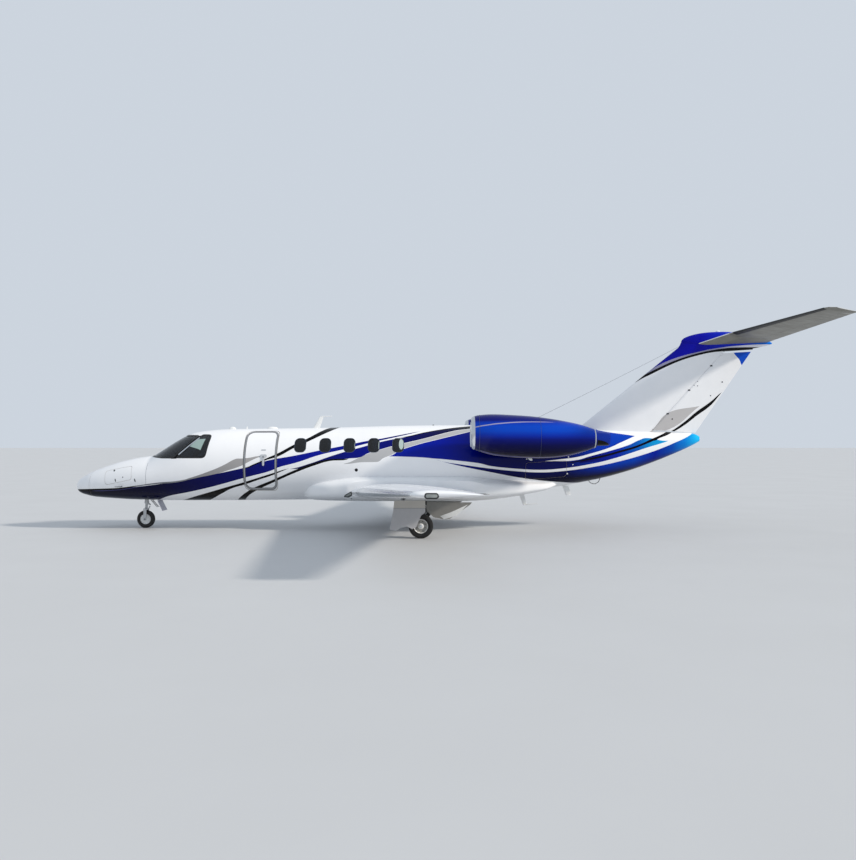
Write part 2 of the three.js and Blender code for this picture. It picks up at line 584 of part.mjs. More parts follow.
function engineParts() {
  const nacelle = loft([...nacelleOuter, ...nacelleDuct].map((row) => nacelleRing(row)), true);
  const filled = loft(nacelleOuter.map((row) => nacelleRing(row, gap)));
  const duct = loft([...nacelleDuct].reverse().map((row) => nacelleRing(row, -gap)));
  const block = turned(coreProfile, engineAxis, engineOrigin, 16);
  const struts = joined([0, 1, 2, 3, 4].map((i) => {
    const t = (2 * Math.PI * i) / 5 + 0.3;
    const at = (x, r, w) => engineLine(
      x, r * Math.cos(t) - w * Math.sin(t), r * Math.sin(t) + w * Math.cos(t));
    return loft([100, 330].map((r) => [at(1640, r, -9), at(1760, r, -7), at(1760, r, 7), at(1640, r, 9)]));
  })).intersect(duct);
  const core = block.add(struts);
  const pylonRing = ([y, front, back, z, thick]) => section(
    thick / (back - front), 0, 3 / (back - front), tailSteps)
    .map(([t, h]) => [front + t * (back - front), -y, z + h * (back - front)]);
  const spar = loft(pylonStations.map(pylonRing)).subtract(filled);
  const tailSkin = hull(1250, 4400, -gap);
  const bladed = fan();
  return {
    nacelle_left: [nacelle, paint.blue], nacelle_right: [mirrored(nacelle), paint.blue],
    pylon_left: [spar.subtract(tailSkin), paint.white],
    pylon_right: [mirrored(spar).subtract(tailSkin), paint.white],
    fan_left: [bladed, paint.steel], fan_right: [mirrored(bladed), paint.steel],
    engine_core_left: [core, paint.dark], engine_core_right: [mirrored(core), paint.dark],
  };
}

// ---- belly fairing ----

function fairing() {
  const rings = fairingStations.map(([x, half, top, bottom]) => Array.from({ length: 24 }, (_, i) => {
    const t = (2 * Math.PI * i) / 24;
    const bow = (v) => Math.sign(v) * Math.abs(v) ** 0.62;
    return [x, half * bow(Math.cos(t)), (top + bottom) / 2 + ((top - bottom) / 2) * bow(Math.sin(t))];
  }));
  const between = box([-3100, -1000, 500], [3000, 1000, 1500]);
  return loft(rings).intersect(between).subtract(hull(-3200, 3200, -gap));
}

// ---- landing gear ----

function wheelParts({ x, y, radius, width, rim }) {
  const hub = new THREE.Vector3(x, -y, radius);
  const w = width / 2;
  const bore = rim * 0.16;
  const hole = bore / Math.cos(Math.PI / aroundWheel) + gap;
  const tyre = [
    [-w * 0.74, rim + gap], [-w * 0.98, radius * 0.72], [-w * 0.96, radius * 0.86],
    [-w * 0.68, radius * 0.96], [-w * 0.24, radius], [w * 0.24, radius], [w * 0.68, radius * 0.96],
    [w * 0.96, radius * 0.86], [w * 0.98, radius * 0.72], [w * 0.74, rim + gap]];
  const disc = [
    [-w * 0.84, hole], [-w * 0.8, rim * 0.32], [-w * 0.5, rim * 0.45], [-w * 0.5, rim * 0.82],
    [-w * 0.8, rim], [w * 0.8, rim], [w * 0.5, rim * 0.82], [w * 0.5, rim * 0.45], [w * 0.8, rim * 0.32],
    [w * 0.84, hole]];
  return {
    tyre: turned(tyre, alongY, hub, aroundWheel),
    rim: turned(disc, alongY, hub, aroundWheel),
    axle: (from, to) => turned(
      [[from, 0], [from, bore], [to, bore], [to, 0]], alongY, new THREE.Vector3(x, 0, radius), aroundWheel),
  };
}

function mainGear() {
  const wheel = wheelParts(mainWheel);
  const { x, y, radius } = mainWheel;
  const inner = -y + mainWheel.width / 2 + 26;
  const leg = joined(
    rod([-575, -2000, 838], [-560, -1950, 380], 52), rod([-560, -2130, 800], [-560, -1700, 800], 40),
    rod([-560, inner - 20, 372], [-560, inner + 90, 372], 66),
    prism([[-600, 420], [-520, 440], [x + 60, radius + 44], [x + 60, radius - 44], [-570, 322]], sideView,
      inner, inner + 62),
    wheel.axle(-y - mainWheel.width / 2 + 10, inner + 40),
    rod([x - 60, inner + 30, radius + 40], [-520, inner + 30, 740], 34),
    rod([-600, -1990, 640], [-600, -2335, 640], 16), rod([-560, -1960, 420], [-560, -2335, 420], 16),
    rod([-575, -1990, 640], [-600, -1990, 640], 20));
  const strutDoor = prism([
    [-737, 792], [-114, 792], [-114, 557], [-199, 487], [-299, 258], [-376, 217], [-482, 272], [-623, 241],
    [-691, 187], [-830, 211], [-760, 587]], sideView, -2335 - gap, -2352);
  const inboardDoor = prism([
    [-90, 655], [-90, 470], [60, 330], [310, 282], [420, 300], [855, 600], [900, 655],
  ], sideView, -985, -965);
  return {
    main_wheel_left: [wheel.rim, paint.metal], main_wheel_right: [mirrored(wheel.rim), paint.metal],
    main_tyre_left: [wheel.tyre, paint.rubber], main_tyre_right: [mirrored(wheel.tyre), paint.rubber],
    main_gear_leg_left: [leg, paint.gear], main_gear_leg_right: [mirrored(leg), paint.gear],
    main_gear_door_left: [strutDoor, paint.gear], main_gear_door_right: [mirrored(strutDoor), paint.gear],
    main_gear_inboard_door_left: [inboardDoor, paint.gear],
    main_gear_inboard_door_right: [mirrored(inboardDoor), paint.gear],
  };
}

function noseGear() {
  const wheel = wheelParts(noseWheel);
  const { x, radius, width } = noseWheel;
  const strut = joined(rod([-6515, 0, 935], [-6540, 0, 560], 44), rod([-6540, 0, 570], [-6547, 0, 452], 30));
  const arm = width / 2 + 18;
  const fork = joined(
    rod([-6547.3, 0, 450], [-6551, 0, 392], 46, 42, 20),
    box([-6586, -arm - 24, 448 - 30], [-6512, arm + 24, 448 - 2]),
    ...[-arm - 22, arm].map((from) => prism([
      [-6582, 430], [-6516, 430], [x + 30, radius - 30], [x - 30, radius - 30]], sideView, from, from + 22)),
    wheel.axle(-arm - 22, arm + 22));
  const half = width / 2 + 10;
  const swept = rod([x, -half, radius], [x, half, radius], radius + 14, radius + 14, 32);
  const trimmed = fork.subtract(swept.subtract(wheel.axle(-width, width)));
  const door = prism([[-6247, 636], [-6231, 640], [-6113, 404], [-6129, 398]], sideView, -150, 150);
  return {
    nose_wheel: [wheel.rim, paint.white], nose_tyre: [wheel.tyre, paint.rubber],
    nose_strut: [strut, paint.gear], nose_fork: [trimmed, paint.gear], nose_gear_door: [door, paint.gear],
  };
}

// ---- the whole aircraft ----

// A group that stands at the assembly's own origin; each piece in it is a mesh about its own middle.
function assembly(origin, pieces) {
  const group = new THREE.Group();
  group.position.set(...origin);
  for (const [name, [solid, [color, roughness, metalness]]] of Object.entries(pieces)) {
    const geometry = geometryOf(solid);
    geometry.computeBoundingBox();
    const middle = geometry.boundingBox.getCenter(new THREE.Vector3());
    geometry.translate(-middle.x, -middle.y, -middle.z);
    const mesh = new THREE.Mesh(geometry, new THREE.MeshStandardMaterial({ color, roughness, metalness }));
    mesh.name = name;
    mesh.position.copy(middle).sub(group.position);
    group.add(mesh);
  }
  return group;
}

const aircraft = new THREE.Group();
aircraft.name = 'business_jet';
aircraft.add(
  assembly([0, 0, 1500], fuselageParts()),
  assembly([-2700, 0, 930], fittings()),
  assembly([0, 0, 640], { belly_fairing: [fairing(), paint.white] }),
  assembly([0, 0, 880], wingParts()),
  assembly([5800, 0, 2200], finParts()),
  assembly([6800, 0, 4250], stabParts()),
  assembly([1300, 0, 2130], engineParts()),
  assembly([mainWheel.x, 0, mainWheel.radius], mainGear()),
  assembly([noseWheel.x, 0, noseWheel.radius], noseGear()),
);

export default aircraft;
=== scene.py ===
"""Looks of a parked twin-engine business jet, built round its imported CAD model.

Metres, +X aft, +Y to starboard, +Z up, with the origin on the ground.
"""
import json
import logging
import math
from collections.abc import Callable, Iterable, Sequence
from dataclasses import dataclass
from enum import Enum
from itertools import zip_longest

import bmesh
import bpy
import numpy as np
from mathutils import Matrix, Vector

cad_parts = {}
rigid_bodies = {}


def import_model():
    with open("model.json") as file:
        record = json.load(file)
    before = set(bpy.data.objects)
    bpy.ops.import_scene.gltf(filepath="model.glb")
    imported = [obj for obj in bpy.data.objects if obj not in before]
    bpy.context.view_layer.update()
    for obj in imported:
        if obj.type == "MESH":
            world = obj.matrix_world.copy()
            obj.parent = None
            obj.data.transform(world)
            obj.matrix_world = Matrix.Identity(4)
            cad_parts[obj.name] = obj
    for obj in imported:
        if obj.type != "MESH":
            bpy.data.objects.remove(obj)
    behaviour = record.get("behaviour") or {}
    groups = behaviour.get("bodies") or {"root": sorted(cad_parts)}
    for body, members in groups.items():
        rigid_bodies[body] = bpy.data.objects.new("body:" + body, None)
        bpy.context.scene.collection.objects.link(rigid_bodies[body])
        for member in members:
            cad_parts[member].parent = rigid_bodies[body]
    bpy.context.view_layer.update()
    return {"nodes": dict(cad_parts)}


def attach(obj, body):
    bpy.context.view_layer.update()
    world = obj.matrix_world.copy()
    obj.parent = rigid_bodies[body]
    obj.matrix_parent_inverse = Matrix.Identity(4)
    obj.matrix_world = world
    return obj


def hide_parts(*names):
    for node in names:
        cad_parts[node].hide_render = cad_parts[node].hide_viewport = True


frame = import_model()
LOG = logging.getLogger("jet")
Table = tuple[tuple[float, ...], ...]
Place = Sequence[float]
Array, Piece, Socket, Tree = np.ndarray, bpy.types.Object, bpy.types.NodeSocket, bpy.types.NodeTree


class Side(Enum):
    """The two sides of the aircraft, as the sign of Y."""
    PORT = -1
    STARBOARD = 1

    @property
    def word(self) -> str:
        """The side's name in CAD nodes."""
        return "left" if self is Side.PORT else "right"


class Boolean(Enum):
    """What a cutter does to a body."""
    CUT = "DIFFERENCE"
    KEEP = "INTERSECT"
    JOIN = "UNION"


CUT, KEEP, JOIN = Boolean
SIDE_VIEW = ((1, 0, 0), (0, 0, 1), (0, 1, 0))
PLAN_VIEW = ((1, 0, 0), (0, 1, 0), (0, 0, 1))
ACROSS = (0, 1, 0)


# ---- numbers ----

def mm(*values: int) -> Table:
    """Points from whole millimetres, two for each point."""
    return tuple((a / 1000, b / 1000) for a, b in zip(values[::2], values[1::2]))


def circle(steps: int) -> Array:
    """Angles once round, in equal steps."""
    return np.linspace(0, 2 * math.pi, steps, endpoint=False)


def stops(rows: Table, count: int, start: float | None = None, end: float | None = None) -> Array:
    """Even steps over a table's rows, or a stretch of them, with a stop at every row."""
    knots = [row[0] for row in rows]
    start, end = (knots[0] if start is None else start), (knots[-1] if end is None else end)
    return np.unique(np.concatenate([np.linspace(start, end, count), knots]))


def direction(*parts: float) -> Array:
    """A direction of length one."""
    found = np.array(parts, float)
    return found / np.linalg.norm(found)


def between(rows: Table, at: float) -> Array:
    """A row of a table between two of its rows."""
    table = np.array(rows, float)
    return np.array([np.interp(at, table[:, 0], column) for column in table.T])


def read(rows: Table, x: Array | float) -> Array:
    """Reads a table of sizes on a smooth curve through its rows.

    Args:
        rows: first column x, rising.
        x: where to read.
    Returns:
        The other columns, one row for each x.
    """
    table, x = np.array(rows, float), np.atleast_1d(np.asarray(x, float))
    gaps = np.diff(table[:, 0])
    slopes = np.diff(table[:, 1:], axis=0) / gaps[:, None]
    tangents = np.vstack([slopes[:1], (slopes[:-1] + slopes[1:]) / 2, slopes[-1:]])
    i = np.clip(np.searchsorted(table[:, 0], x) - 1, 0, len(gaps) - 1)
    h = gaps[i][:, None]
    t = np.clip((x - table[i, 0])[:, None] / h, 0, 1)
    return (table[i, 1:] * (1 + 2 * t) * (1 - t) ** 2 + tangents[i] * h * t * (1 - t) ** 2
            + table[i + 1, 1:] * t * t * (3 - 2 * t) + tangents[i + 1] * h * t * t * (t - 1))


# ---- outlines ----

def rounded(x0: float, z0: float, x1: float, z1: float, radii: Sequence[float] | float, steps: int = 8) -> list:
    """A rectangle with rounded corners: top aft, top fore, bottom fore, bottom aft."""
    outline = []
    for i, (x, z) in enumerate([(x1, z1), (x0, z1), (x0, z0), (x1, z0)]):
        r = radii if np.isscalar(radii) else radii[i]
        cx, cz = x + (-r if x == x1 else r), z + (-r if z == z1 else r)
        for s in range(steps + 1):
            t = (i + s / steps) * math.pi / 2
            outline.append((cx + r * math.cos(t), cz + r * math.sin(t)))
    return outline


def corner_curve(a: Array, corner: Array, b: Array, steps: int) -> list:
    """Points on the curve that takes the place of a corner."""
    return [a * (1 - t) ** 2 + 2 * corner * t * (1 - t) + b * t * t for t in np.linspace(0, 1, steps)]


def filleted(outline: Sequence[Place], radius: float, steps: int = 6) -> list:
    """Rounds an outline's corners, from a distance before each to the same after it."""
    points, made = np.array(outline, float), []
    for i, corner in enumerate(points):
        before, after = points[i - 1] - corner, points[(i + 1) % len(points)] - corner
        a, b = (corner + way * min(radius / np.linalg.norm(way), .45) for way in (before, after))
        made += corner_curve(a, corner, b, steps)
    return made


def filleted_path(points: Sequence[Place], steps: int = 5) -> list:
    """A line through points with its bends rounded."""
    line = np.array(points, float)
    made = [line[0]]
    for before, corner, after in zip(line, line[1:], line[2:]):
        made += corner_curve(corner + (before - corner) * .4, corner, corner + (after - corner) * .4, steps)
    return made + [line[-1]]


def grown(outline: Sequence[Place], by: float) -> list:
    """The same outline with every edge moved outwards."""
    points = np.array(outline, float)
    following, before = np.roll(points, -1, axis=0), np.roll(points, 1, axis=0)
    area = np.sum(points[:, 0] * following[:, 1] - following[:, 0] * points[:, 1])
    along = following - before
    along /= np.linalg.norm(along, axis=1)[:, None]
    return list(points + np.stack([along[:, 1], -along[:, 0]], axis=1) * np.sign(area) * by)


def oval(x: float, z: float, rx: float, rz: float = 0, lean: float = 0) -> list:
    """An oval outline, round with one radius, whose top leans aft by an angle in degrees."""
    turn, tilt = circle(24), math.radians(lean)
    a, b = rx * np.cos(turn), (rz or rx) * np.sin(turn)
    return list(zip(x + a * math.cos(tilt) + b * math.sin(tilt), z - a * math.sin(tilt) + b * math.cos(tilt)))


def band(points: Sequence[Place], width: float) -> list:
    """The outline of a narrow band that follows points."""
    line = np.array(points, float)
    along = np.gradient(line, axis=0)
    along /= np.linalg.norm(along, axis=1)[:, None]
    off = np.stack([-along[:, 1], along[:, 0]], axis=1) * width / 2
    return list(np.vstack([line + off, (line - off)[::-1]]))


# ---- bodies ----

def linked(name: str, data: bpy.types.ID) -> Piece:
    """Makes an object of its data and puts it in the scene."""
    made = bpy.data.objects.new(name, data)
    bpy.context.scene.collection.objects.link(made)
    return made


def body(name: str, corners: Array, faces: Iterable[Sequence[int]]) -> Piece:
    """Makes a body from corners and the corners of each face, with its faces turned outwards."""
    mesh = bpy.data.meshes.new(name)
    mesh.from_pydata(np.asarray(corners, float).tolist(), [], [list(f) for f in faces])
    form = bmesh.new()
    form.from_mesh(mesh)
    if form.calc_volume(signed=True) < 0:
        bmesh.ops.reverse_faces(form, faces=form.faces)
    form.to_mesh(mesh)
    form.free()
    return linked(name, mesh)


def loft(name: str, rings: Sequence[Array], looped: bool = False) -> Piece:
    """Joins rings of equal length in order.

    Args:
        name: the object's name.
        rings: each ring's corners.
        looped: back to the first ring, and not closed at the two ends.
    Returns:
        The closed body.
    """
    rings = np.asarray(rings, float)
    count, around = rings.shape[:2]
    faces = []
    for i in range(count if looped else count - 1):
        a, b = i * around, ((i + 1) % count) * around
        faces += [(a + j, a + (j + 1) % around, b + (j + 1) % around, b + j) for j in range(around)]
    if not looped:
        last = (count - 1) * around
        faces += [tuple(range(around))[::-1], tuple(range(last, last + around))]
    return body(name, rings.reshape(-1, 3), faces)


def prism(name: str, outline: Sequence[Place], start: float, end: float, axes: Sequence[Place] = SIDE_VIEW,
          origin: Place = (0, 0, 0)) -> Piece:
    """Runs an outline along the third of three axes.

    Args:
        name: the object's name.
        outline: points along the first two axes.
        start: where it begins along the third.
        end: where it ends along the third.
        axes: the three directions; an outline is seen from the side unless they are given.
        origin: where the axes meet.
    Returns:
        The closed body.
    """
    u, v, w = (np.array(a, float) for a in axes)
    flat = np.array([u * a + v * b for a, b in outline]) + np.array(origin, float)
    return loft(name, [flat + w * start, flat + w * end])


def block(name: str, low: Place, high: Place, bevel: float = 0) -> Piece:
    """Makes a box between its lowest and highest corners, with rounded edges if they have a radius."""
    made = prism(name, [(low[0], low[1]), (high[0], low[1]), (high[0], high[1]), (low[0], high[1])],
                 low[2], high[2], PLAN_VIEW)
    return bevelled(made, bevel) if bevel else made


def tube(name: str, points: Sequence[Place], radii: Sequence[float] | float, around: int = 20) -> Piece:
    """Runs a round bar along points.

    Args:
        name: the object's name.
        points: the middle of the bar.
        radii: its radius at each point, or one for all.
        around: corners in a ring.
    Returns:
        The closed body.
    """
    points = np.array(points, float)
    radii = np.full(len(points), radii) if np.isscalar(radii) else radii
    steps = np.diff(points, axis=0)
    steps = steps / np.maximum(np.linalg.norm(steps, axis=1), 1e-9)[:, None]
    lines = [direction(*(steps[max(i - 1, 0)] + steps[min(i, len(steps) - 1)])) for i in range(len(points))]
    across, rings = square_to(lines[0]), []
    for point, line, radius in zip(points, lines, radii):
        across = direction(*(across - line * np.dot(across, line)))
        rings.append(point + radius * spokes(line, across, around))
    return loft(name, rings)


def square_to(line: Place) -> Array:
    """A way square to a line."""
    return np.cross(line, (0, 0, 1) if abs(line[2]) < .9 else ACROSS)


def spokes(line: Array, across: Array, around: int) -> Array:
    """Directions round a line, from one that is square to it."""
    turn = circle(around)
    return np.outer(np.cos(turn), across) + np.outer(np.sin(turn), np.cross(line, across))


def turned(name: str, profile: Sequence[Place], point: Place, line: Place = ACROSS, around: int = 64) -> Piece:
    """Turns a profile about a line.

    Args:
        name: the object's name.
        profile: distance along the line and radius, in order; closed on itself unless it starts at radius 0.
        point: where distance along the line is 0.
        line: the line's direction.
        around: corners in a ring.
    Returns:
        The closed body.
    """
    line = direction(*line)
    ring, solid = spokes(line, direction(*square_to(line)), around), profile[0][1] == 0
    return loft(name, [np.array(point) + line * a + r * ring for a, r in (profile[1:-1] if solid else profile)],
                looped=not solid)


def pod(name: str, centre: Place, halves: Place, around: int = 32, rows: int = 16) -> Piece:
    """A lens-like body: its middle and its half sizes."""
    turn = circle(around)
    rings = [np.stack([np.full(around, -math.cos(t)), math.sin(t) * np.cos(turn), math.sin(t) * np.sin(turn)], axis=1)
             for t in np.linspace(.03, math.pi - .03, rows)]
    return loft(name, np.array(rings) * np.array(halves) + np.array(centre))


def evaluated(piece: Piece) -> Piece:
    """Takes up the piece's modifiers into its mesh and removes them."""
    bpy.context.view_layer.update()
    graph = bpy.context.evaluated_depsgraph_get()
    mesh = bpy.data.meshes.new_from_object(piece.evaluated_get(graph))
    piece.modifiers.clear()
    piece.data = mesh
    return piece


def bevelled(piece: Piece, width: float, steps: int = 2) -> Piece:
    """Rounds the piece's sharp edges by a width in metres."""
    edges = piece.modifiers.new("edges", "BEVEL")
    edges.width, edges.segments, edges.limit_method = width, steps, "ANGLE"
    return evaluated(piece)


def carved(piece: Piece, *steps: tuple[Boolean, Piece]) -> Piece:
    """Cuts a body with others, which are then removed; each step is what to do and the body to do it with."""
    for how, cutter in steps:
        tool = piece.modifiers.new("cut", "BOOLEAN")
        tool.operation, tool.object, tool.solver = how.value, cutter, "MANIFOLD"
    evaluated(piece)
    for _, cutter in steps:
        bpy.data.objects.remove(cutter)
    return piece


def joined(name: str, pieces: Sequence[Piece]) -> Piece:
    """Puts several pieces without finishes into one object."""
    corners, faces = [], []
    for piece in pieces:
        shift = len(corners)
        corners += [tuple(v.co) for v in piece.data.vertices]
        faces += [[shift + v for v in face.vertices] for face in piece.data.polygons]
        bpy.data.objects.remove(piece)
    mesh = bpy.data.meshes.new(name)
    mesh.from_pydata(corners, [], faces)
    return linked(name, mesh)


def mirrored(piece: Piece, name: str) -> Piece:
    """Copies a piece to the other side of the aircraft, with its faces outwards."""
    mesh = piece.data.copy()
    mesh.name = name
    form = bmesh.new()
    form.from_mesh(mesh)
    for corner in form.verts:
        corner.co.y = -corner.co.y
    bmesh.ops.reverse_faces(form, faces=form.faces)
    form.to_mesh(mesh)
    form.free()
    return linked(name, mesh)


def swapped(piece: Piece) -> Piece:
    """The same piece on the other side, in place of the first."""
    made = mirrored(piece, piece.name)
    bpy.data.objects.remove(piece)
    return made


# ---- placing ----

def softened(piece: Piece, degrees: float = 32) -> Piece:
    """Shades a piece smooth where its faces meet at less than an angle."""
    piece.data.shade_smooth()
    piece.data.set_sharp_from_angle(angle=math.radians(degrees))
    return piece


def centres(piece: Piece) -> tuple[Array, Array]:
    """The middle and the normal of each of a piece's faces."""
    faces = piece.data.polygons
    middle, normal = np.zeros(len(faces) * 3), np.zeros(len(faces) * 3)
    faces.foreach_get("center", middle)
    faces.foreach_get("normal", normal)
    return middle.reshape(-1, 3), normal.reshape(-1, 3)


def dressed(piece: Piece, *finishes: "Finish", slots: Array | None = None) -> Piece:
    """Gives a piece its finishes, one for each material slot, and the slot of each face where it isn't the first."""
    piece.data.materials.clear()
    for finish in finishes:
        piece.data.materials.append(finish.material())
    used = np.zeros(len(piece.data.polygons), int) if slots is None else np.asarray(slots, int)
    piece.data.polygons.foreach_set("material_index", used)
    return softened(piece)


def placed(piece: Piece, rides: str = "airframe", slot: str = "skin", *nodes: str) -> Piece:
    """Fixes a finished piece to its body, in place of CAD nodes."""
    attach(piece, rides)
    if nodes:
        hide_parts(*nodes)
    return piece


def both(piece: Piece, rides: str = "airframe", slot: str = "skin", *nodes: str) -> None:
    """Places a port piece and its starboard copy; a body, name or node gets its side's word."""
    other = softened(mirrored(piece, piece.name.removesuffix("_left") + "_right"))
    for made, word in ((piece, "left"), (other, "right")):
        placed(made, rides if rides == "airframe" else f"{rides}_{word}", slot, *(f"{n}_{word}" for n in nodes))


def coated(finish: "Finish", *nodes: str) -> None:
    """Gives a finish to CAD nodes that stay as they are."""
    for node in nodes:
        frame["nodes"][node].data.materials[0] = finish.material()


def fastener_tree() -> Tree:
    """The node tree that sets a low cone on each point, with its head the stored way."""
    made = bpy.data.node_groups.get("fastener_rows")
    if made:
        return made
    made = bpy.data.node_groups.new("fastener_rows", "GeometryNodeTree")
    for name, kind in (("Geometry", "Geometry"), ("Radius", "Float"), ("Height", "Float"), ("Corners", "Int"),
                       ("Finish", "Material")):
        made.interface.new_socket(name, in_out="INPUT", socket_type=f"NodeSocket{kind}")
    made.interface.new_socket("Geometry", in_out="OUTPUT", socket_type="NodeSocketGeometry")
    sizes = add(made, "NodeGroupInput").outputs
    crown = add(made, "ShaderNodeMath", {0: sizes["Radius"], 1: .72}, operation="MULTIPLY").outputs[0]
    head = add(made, "GeometryNodeMeshCone", {
        "Vertices": sizes["Corners"], "Radius Top": crown, "Radius Bottom": sizes["Radius"],
        "Depth": sizes["Height"]}).outputs["Mesh"]
    way = add(made, "GeometryNodeInputNamedAttribute", {"Name": "outwards"}, data_type="FLOAT_VECTOR")
    turn = add(made, "FunctionNodeAlignRotationToVector", {"Vector": way.outputs["Attribute"]}, axis="Z")
    rows = add(made, "GeometryNodeInstanceOnPoints", {
        "Points": sizes["Geometry"], "Instance": head, "Rotation": turn.outputs[0]}).outputs[0]
    real = add(made, "GeometryNodeRealizeInstances", {"Geometry": rows}).outputs[0]
    done = add(made, "GeometryNodeSetMaterial", {"Geometry": real, "Material": sizes["Finish"]}).outputs[0]
    add(made, "NodeGroupOutput", {0: done})
    return made


def studded(name: str, heads: Sequence[tuple[Place, Place]], finish: "Finish", radius: float = .004,
            height: float = .0016, corners: int = 6) -> Piece:
    """Sets rows of like heads, such as rivets, screws or bolts.

    Args:
        name: the object's name.
        heads: the middle of each head, and the way it looks.
        finish: what they are made of.
        radius: a head's radius.
        height: a head's height, half of it sunk.
        corners: a head's corners.
    Returns:
        One object with all the heads.
    """
    spots, outwards = (np.array(part, float) for part in zip(*heads))
    mesh = bpy.data.meshes.new(name)
    mesh.from_pydata(spots.tolist(), [], [])
    mesh.attributes.new("outwards", "FLOAT_VECTOR", "POINT").data.foreach_set("vector", outwards.ravel())
    made = linked(name, mesh)
    rows = made.modifiers.new("rows", "NODES")
    rows.node_group = fastener_tree()
    sizes = {"Radius": radius, "Height": height, "Corners": corners, "Finish": finish.material()}
    for socket in rows.node_group.interface.items_tree:
        if socket.in_out == "INPUT" and socket.name in sizes:
            rows[socket.identifier] = sizes[socket.name]
    return softened(evaluated(made))


# ---- finishes ----

def linear(code: str) -> tuple[float, float, float, float]:
    """Turns an sRGB hex value into linear red, green, blue and alpha."""
    parts = [int(code[i:i + 2], 16) / 255 for i in (1, 3, 5)]
    return (*(c / 12.92 if c <= .04045 else ((c + .055) / 1.055) ** 2.4 for c in parts), 1.0)


def add(tree: Tree, kind: str, inputs: dict | None = None, **settings: object) -> bpy.types.Node:
    """Adds a node with its settings, values and links.

    Args:
        tree: where the node goes.
        kind: the node's type.
        inputs: for each socket, by name or place, a value or the socket that feeds it.
        settings: the node's own settings.
    Returns:
        The node.
    """
    node = tree.nodes.new(kind)
    for name, value in settings.items():
        setattr(node, name, value)
    for key, value in (inputs or {}).items():
        if isinstance(value, Socket):
            tree.links.new(value, node.inputs[key])
        else:
            node.inputs[key].default_value = value
    return node


def mixed(tree: Tree, part: Socket, first: object, second: object) -> Socket:
    """The colour between two, where the second takes a part."""
    return add(tree, "ShaderNodeMix", {"Factor": part, "A": first, "B": second}, data_type="RGBA").outputs["Result"]


def ranged(tree: Tree, value: Socket, low: float, high: float, ends: tuple[float, float] = (0, 1)) -> Socket:
    """Spreads what lies from low to high between two ends."""
    return add(tree, "ShaderNodeMapRange", {"Value": value, "From Min": low, "From Max": high, "To Min": ends[0],
                                            "To Max": ends[1]}).outputs[0]


def fade(tree: Tree, value: Socket, stops: tuple[tuple[float, str], ...]) -> Socket:
    """Runs through colours, each at its stop, as a value rises."""
    start, end = stops[0][0], stops[-1][0]
    ramp = add(tree, "ShaderNodeValToRGB", {0: ranged(tree, value, start, end)})
    spots = ramp.color_ramp.elements
    for i, (at, code) in enumerate(stops):
        place = (at - start) / (end - start)
        spot = spots[0] if i == 0 else spots[len(spots) - 1] if i == len(stops) - 1 else spots.new(place)
        spot.position, spot.color = place, linear(code)
    return ramp.outputs[0]


@dataclass(frozen=True)
class Finish:
    """A painted, moulded or machined surface whose colour and gloss vary a little over it."""
    name: str
    colour: str
    shade: str
    roughness: tuple[float, float]
    grain: float
    relief: float = 0.0
    metallic: float = 0.0
    coat: float = 0.0
    sheen: float = 0.0
    clear: float = 0.0
    ior: float = 1.5
    gloss: float = .5
    stretch: tuple[float, float, float] = (1, 1, 1)

    def material(self) -> bpy.types.Material:
        """The finish's material, made once, with colour, gloss and height that vary over the surface."""
        made = bpy.data.materials.get(self.name)
        if made:
            return made
        made = bpy.data.materials.new(self.name)
        made.use_nodes = True
        tree = made.node_tree
        tree.nodes.clear()
        where = add(tree, "ShaderNodeTexCoord").outputs["Object"]
        spread = add(tree, "ShaderNodeMapping", {"Vector": where, "Scale": self.stretch}).outputs[0]
        grain = add(tree, "ShaderNodeTexNoise", {"Vector": spread, "Scale": 1 / self.grain,
                                                 "Detail": 4.0}).outputs["Fac"]
        ground = mixed(tree, grain, linear(self.colour), linear(self.shade))
        shader = add(tree, "ShaderNodeBsdfPrincipled", {
            "Metallic": self.metallic, "Coat Weight": self.coat, "Sheen Weight": self.sheen,
            "Transmission Weight": self.clear, "IOR": self.ior, "Specular IOR Level": self.gloss,
            "Base Color": self.tint(tree, where, ground), "Roughness": ranged(tree, grain, .3, .7, self.roughness)})
        if self.relief:
            bump = add(tree, "ShaderNodeBump", {"Height": grain, "Distance": self.relief, "Strength": 1.0})
            tree.links.new(bump.outputs[0], shader.inputs["Normal"])
        add(tree, "ShaderNodeOutputMaterial", {"Surface": shader.outputs[0]})
        return made

    def tint(self, tree: Tree, where: Socket, ground: Socket) -> Socket:
        """The ground colour after any pattern of this finish; plain here."""
        return ground


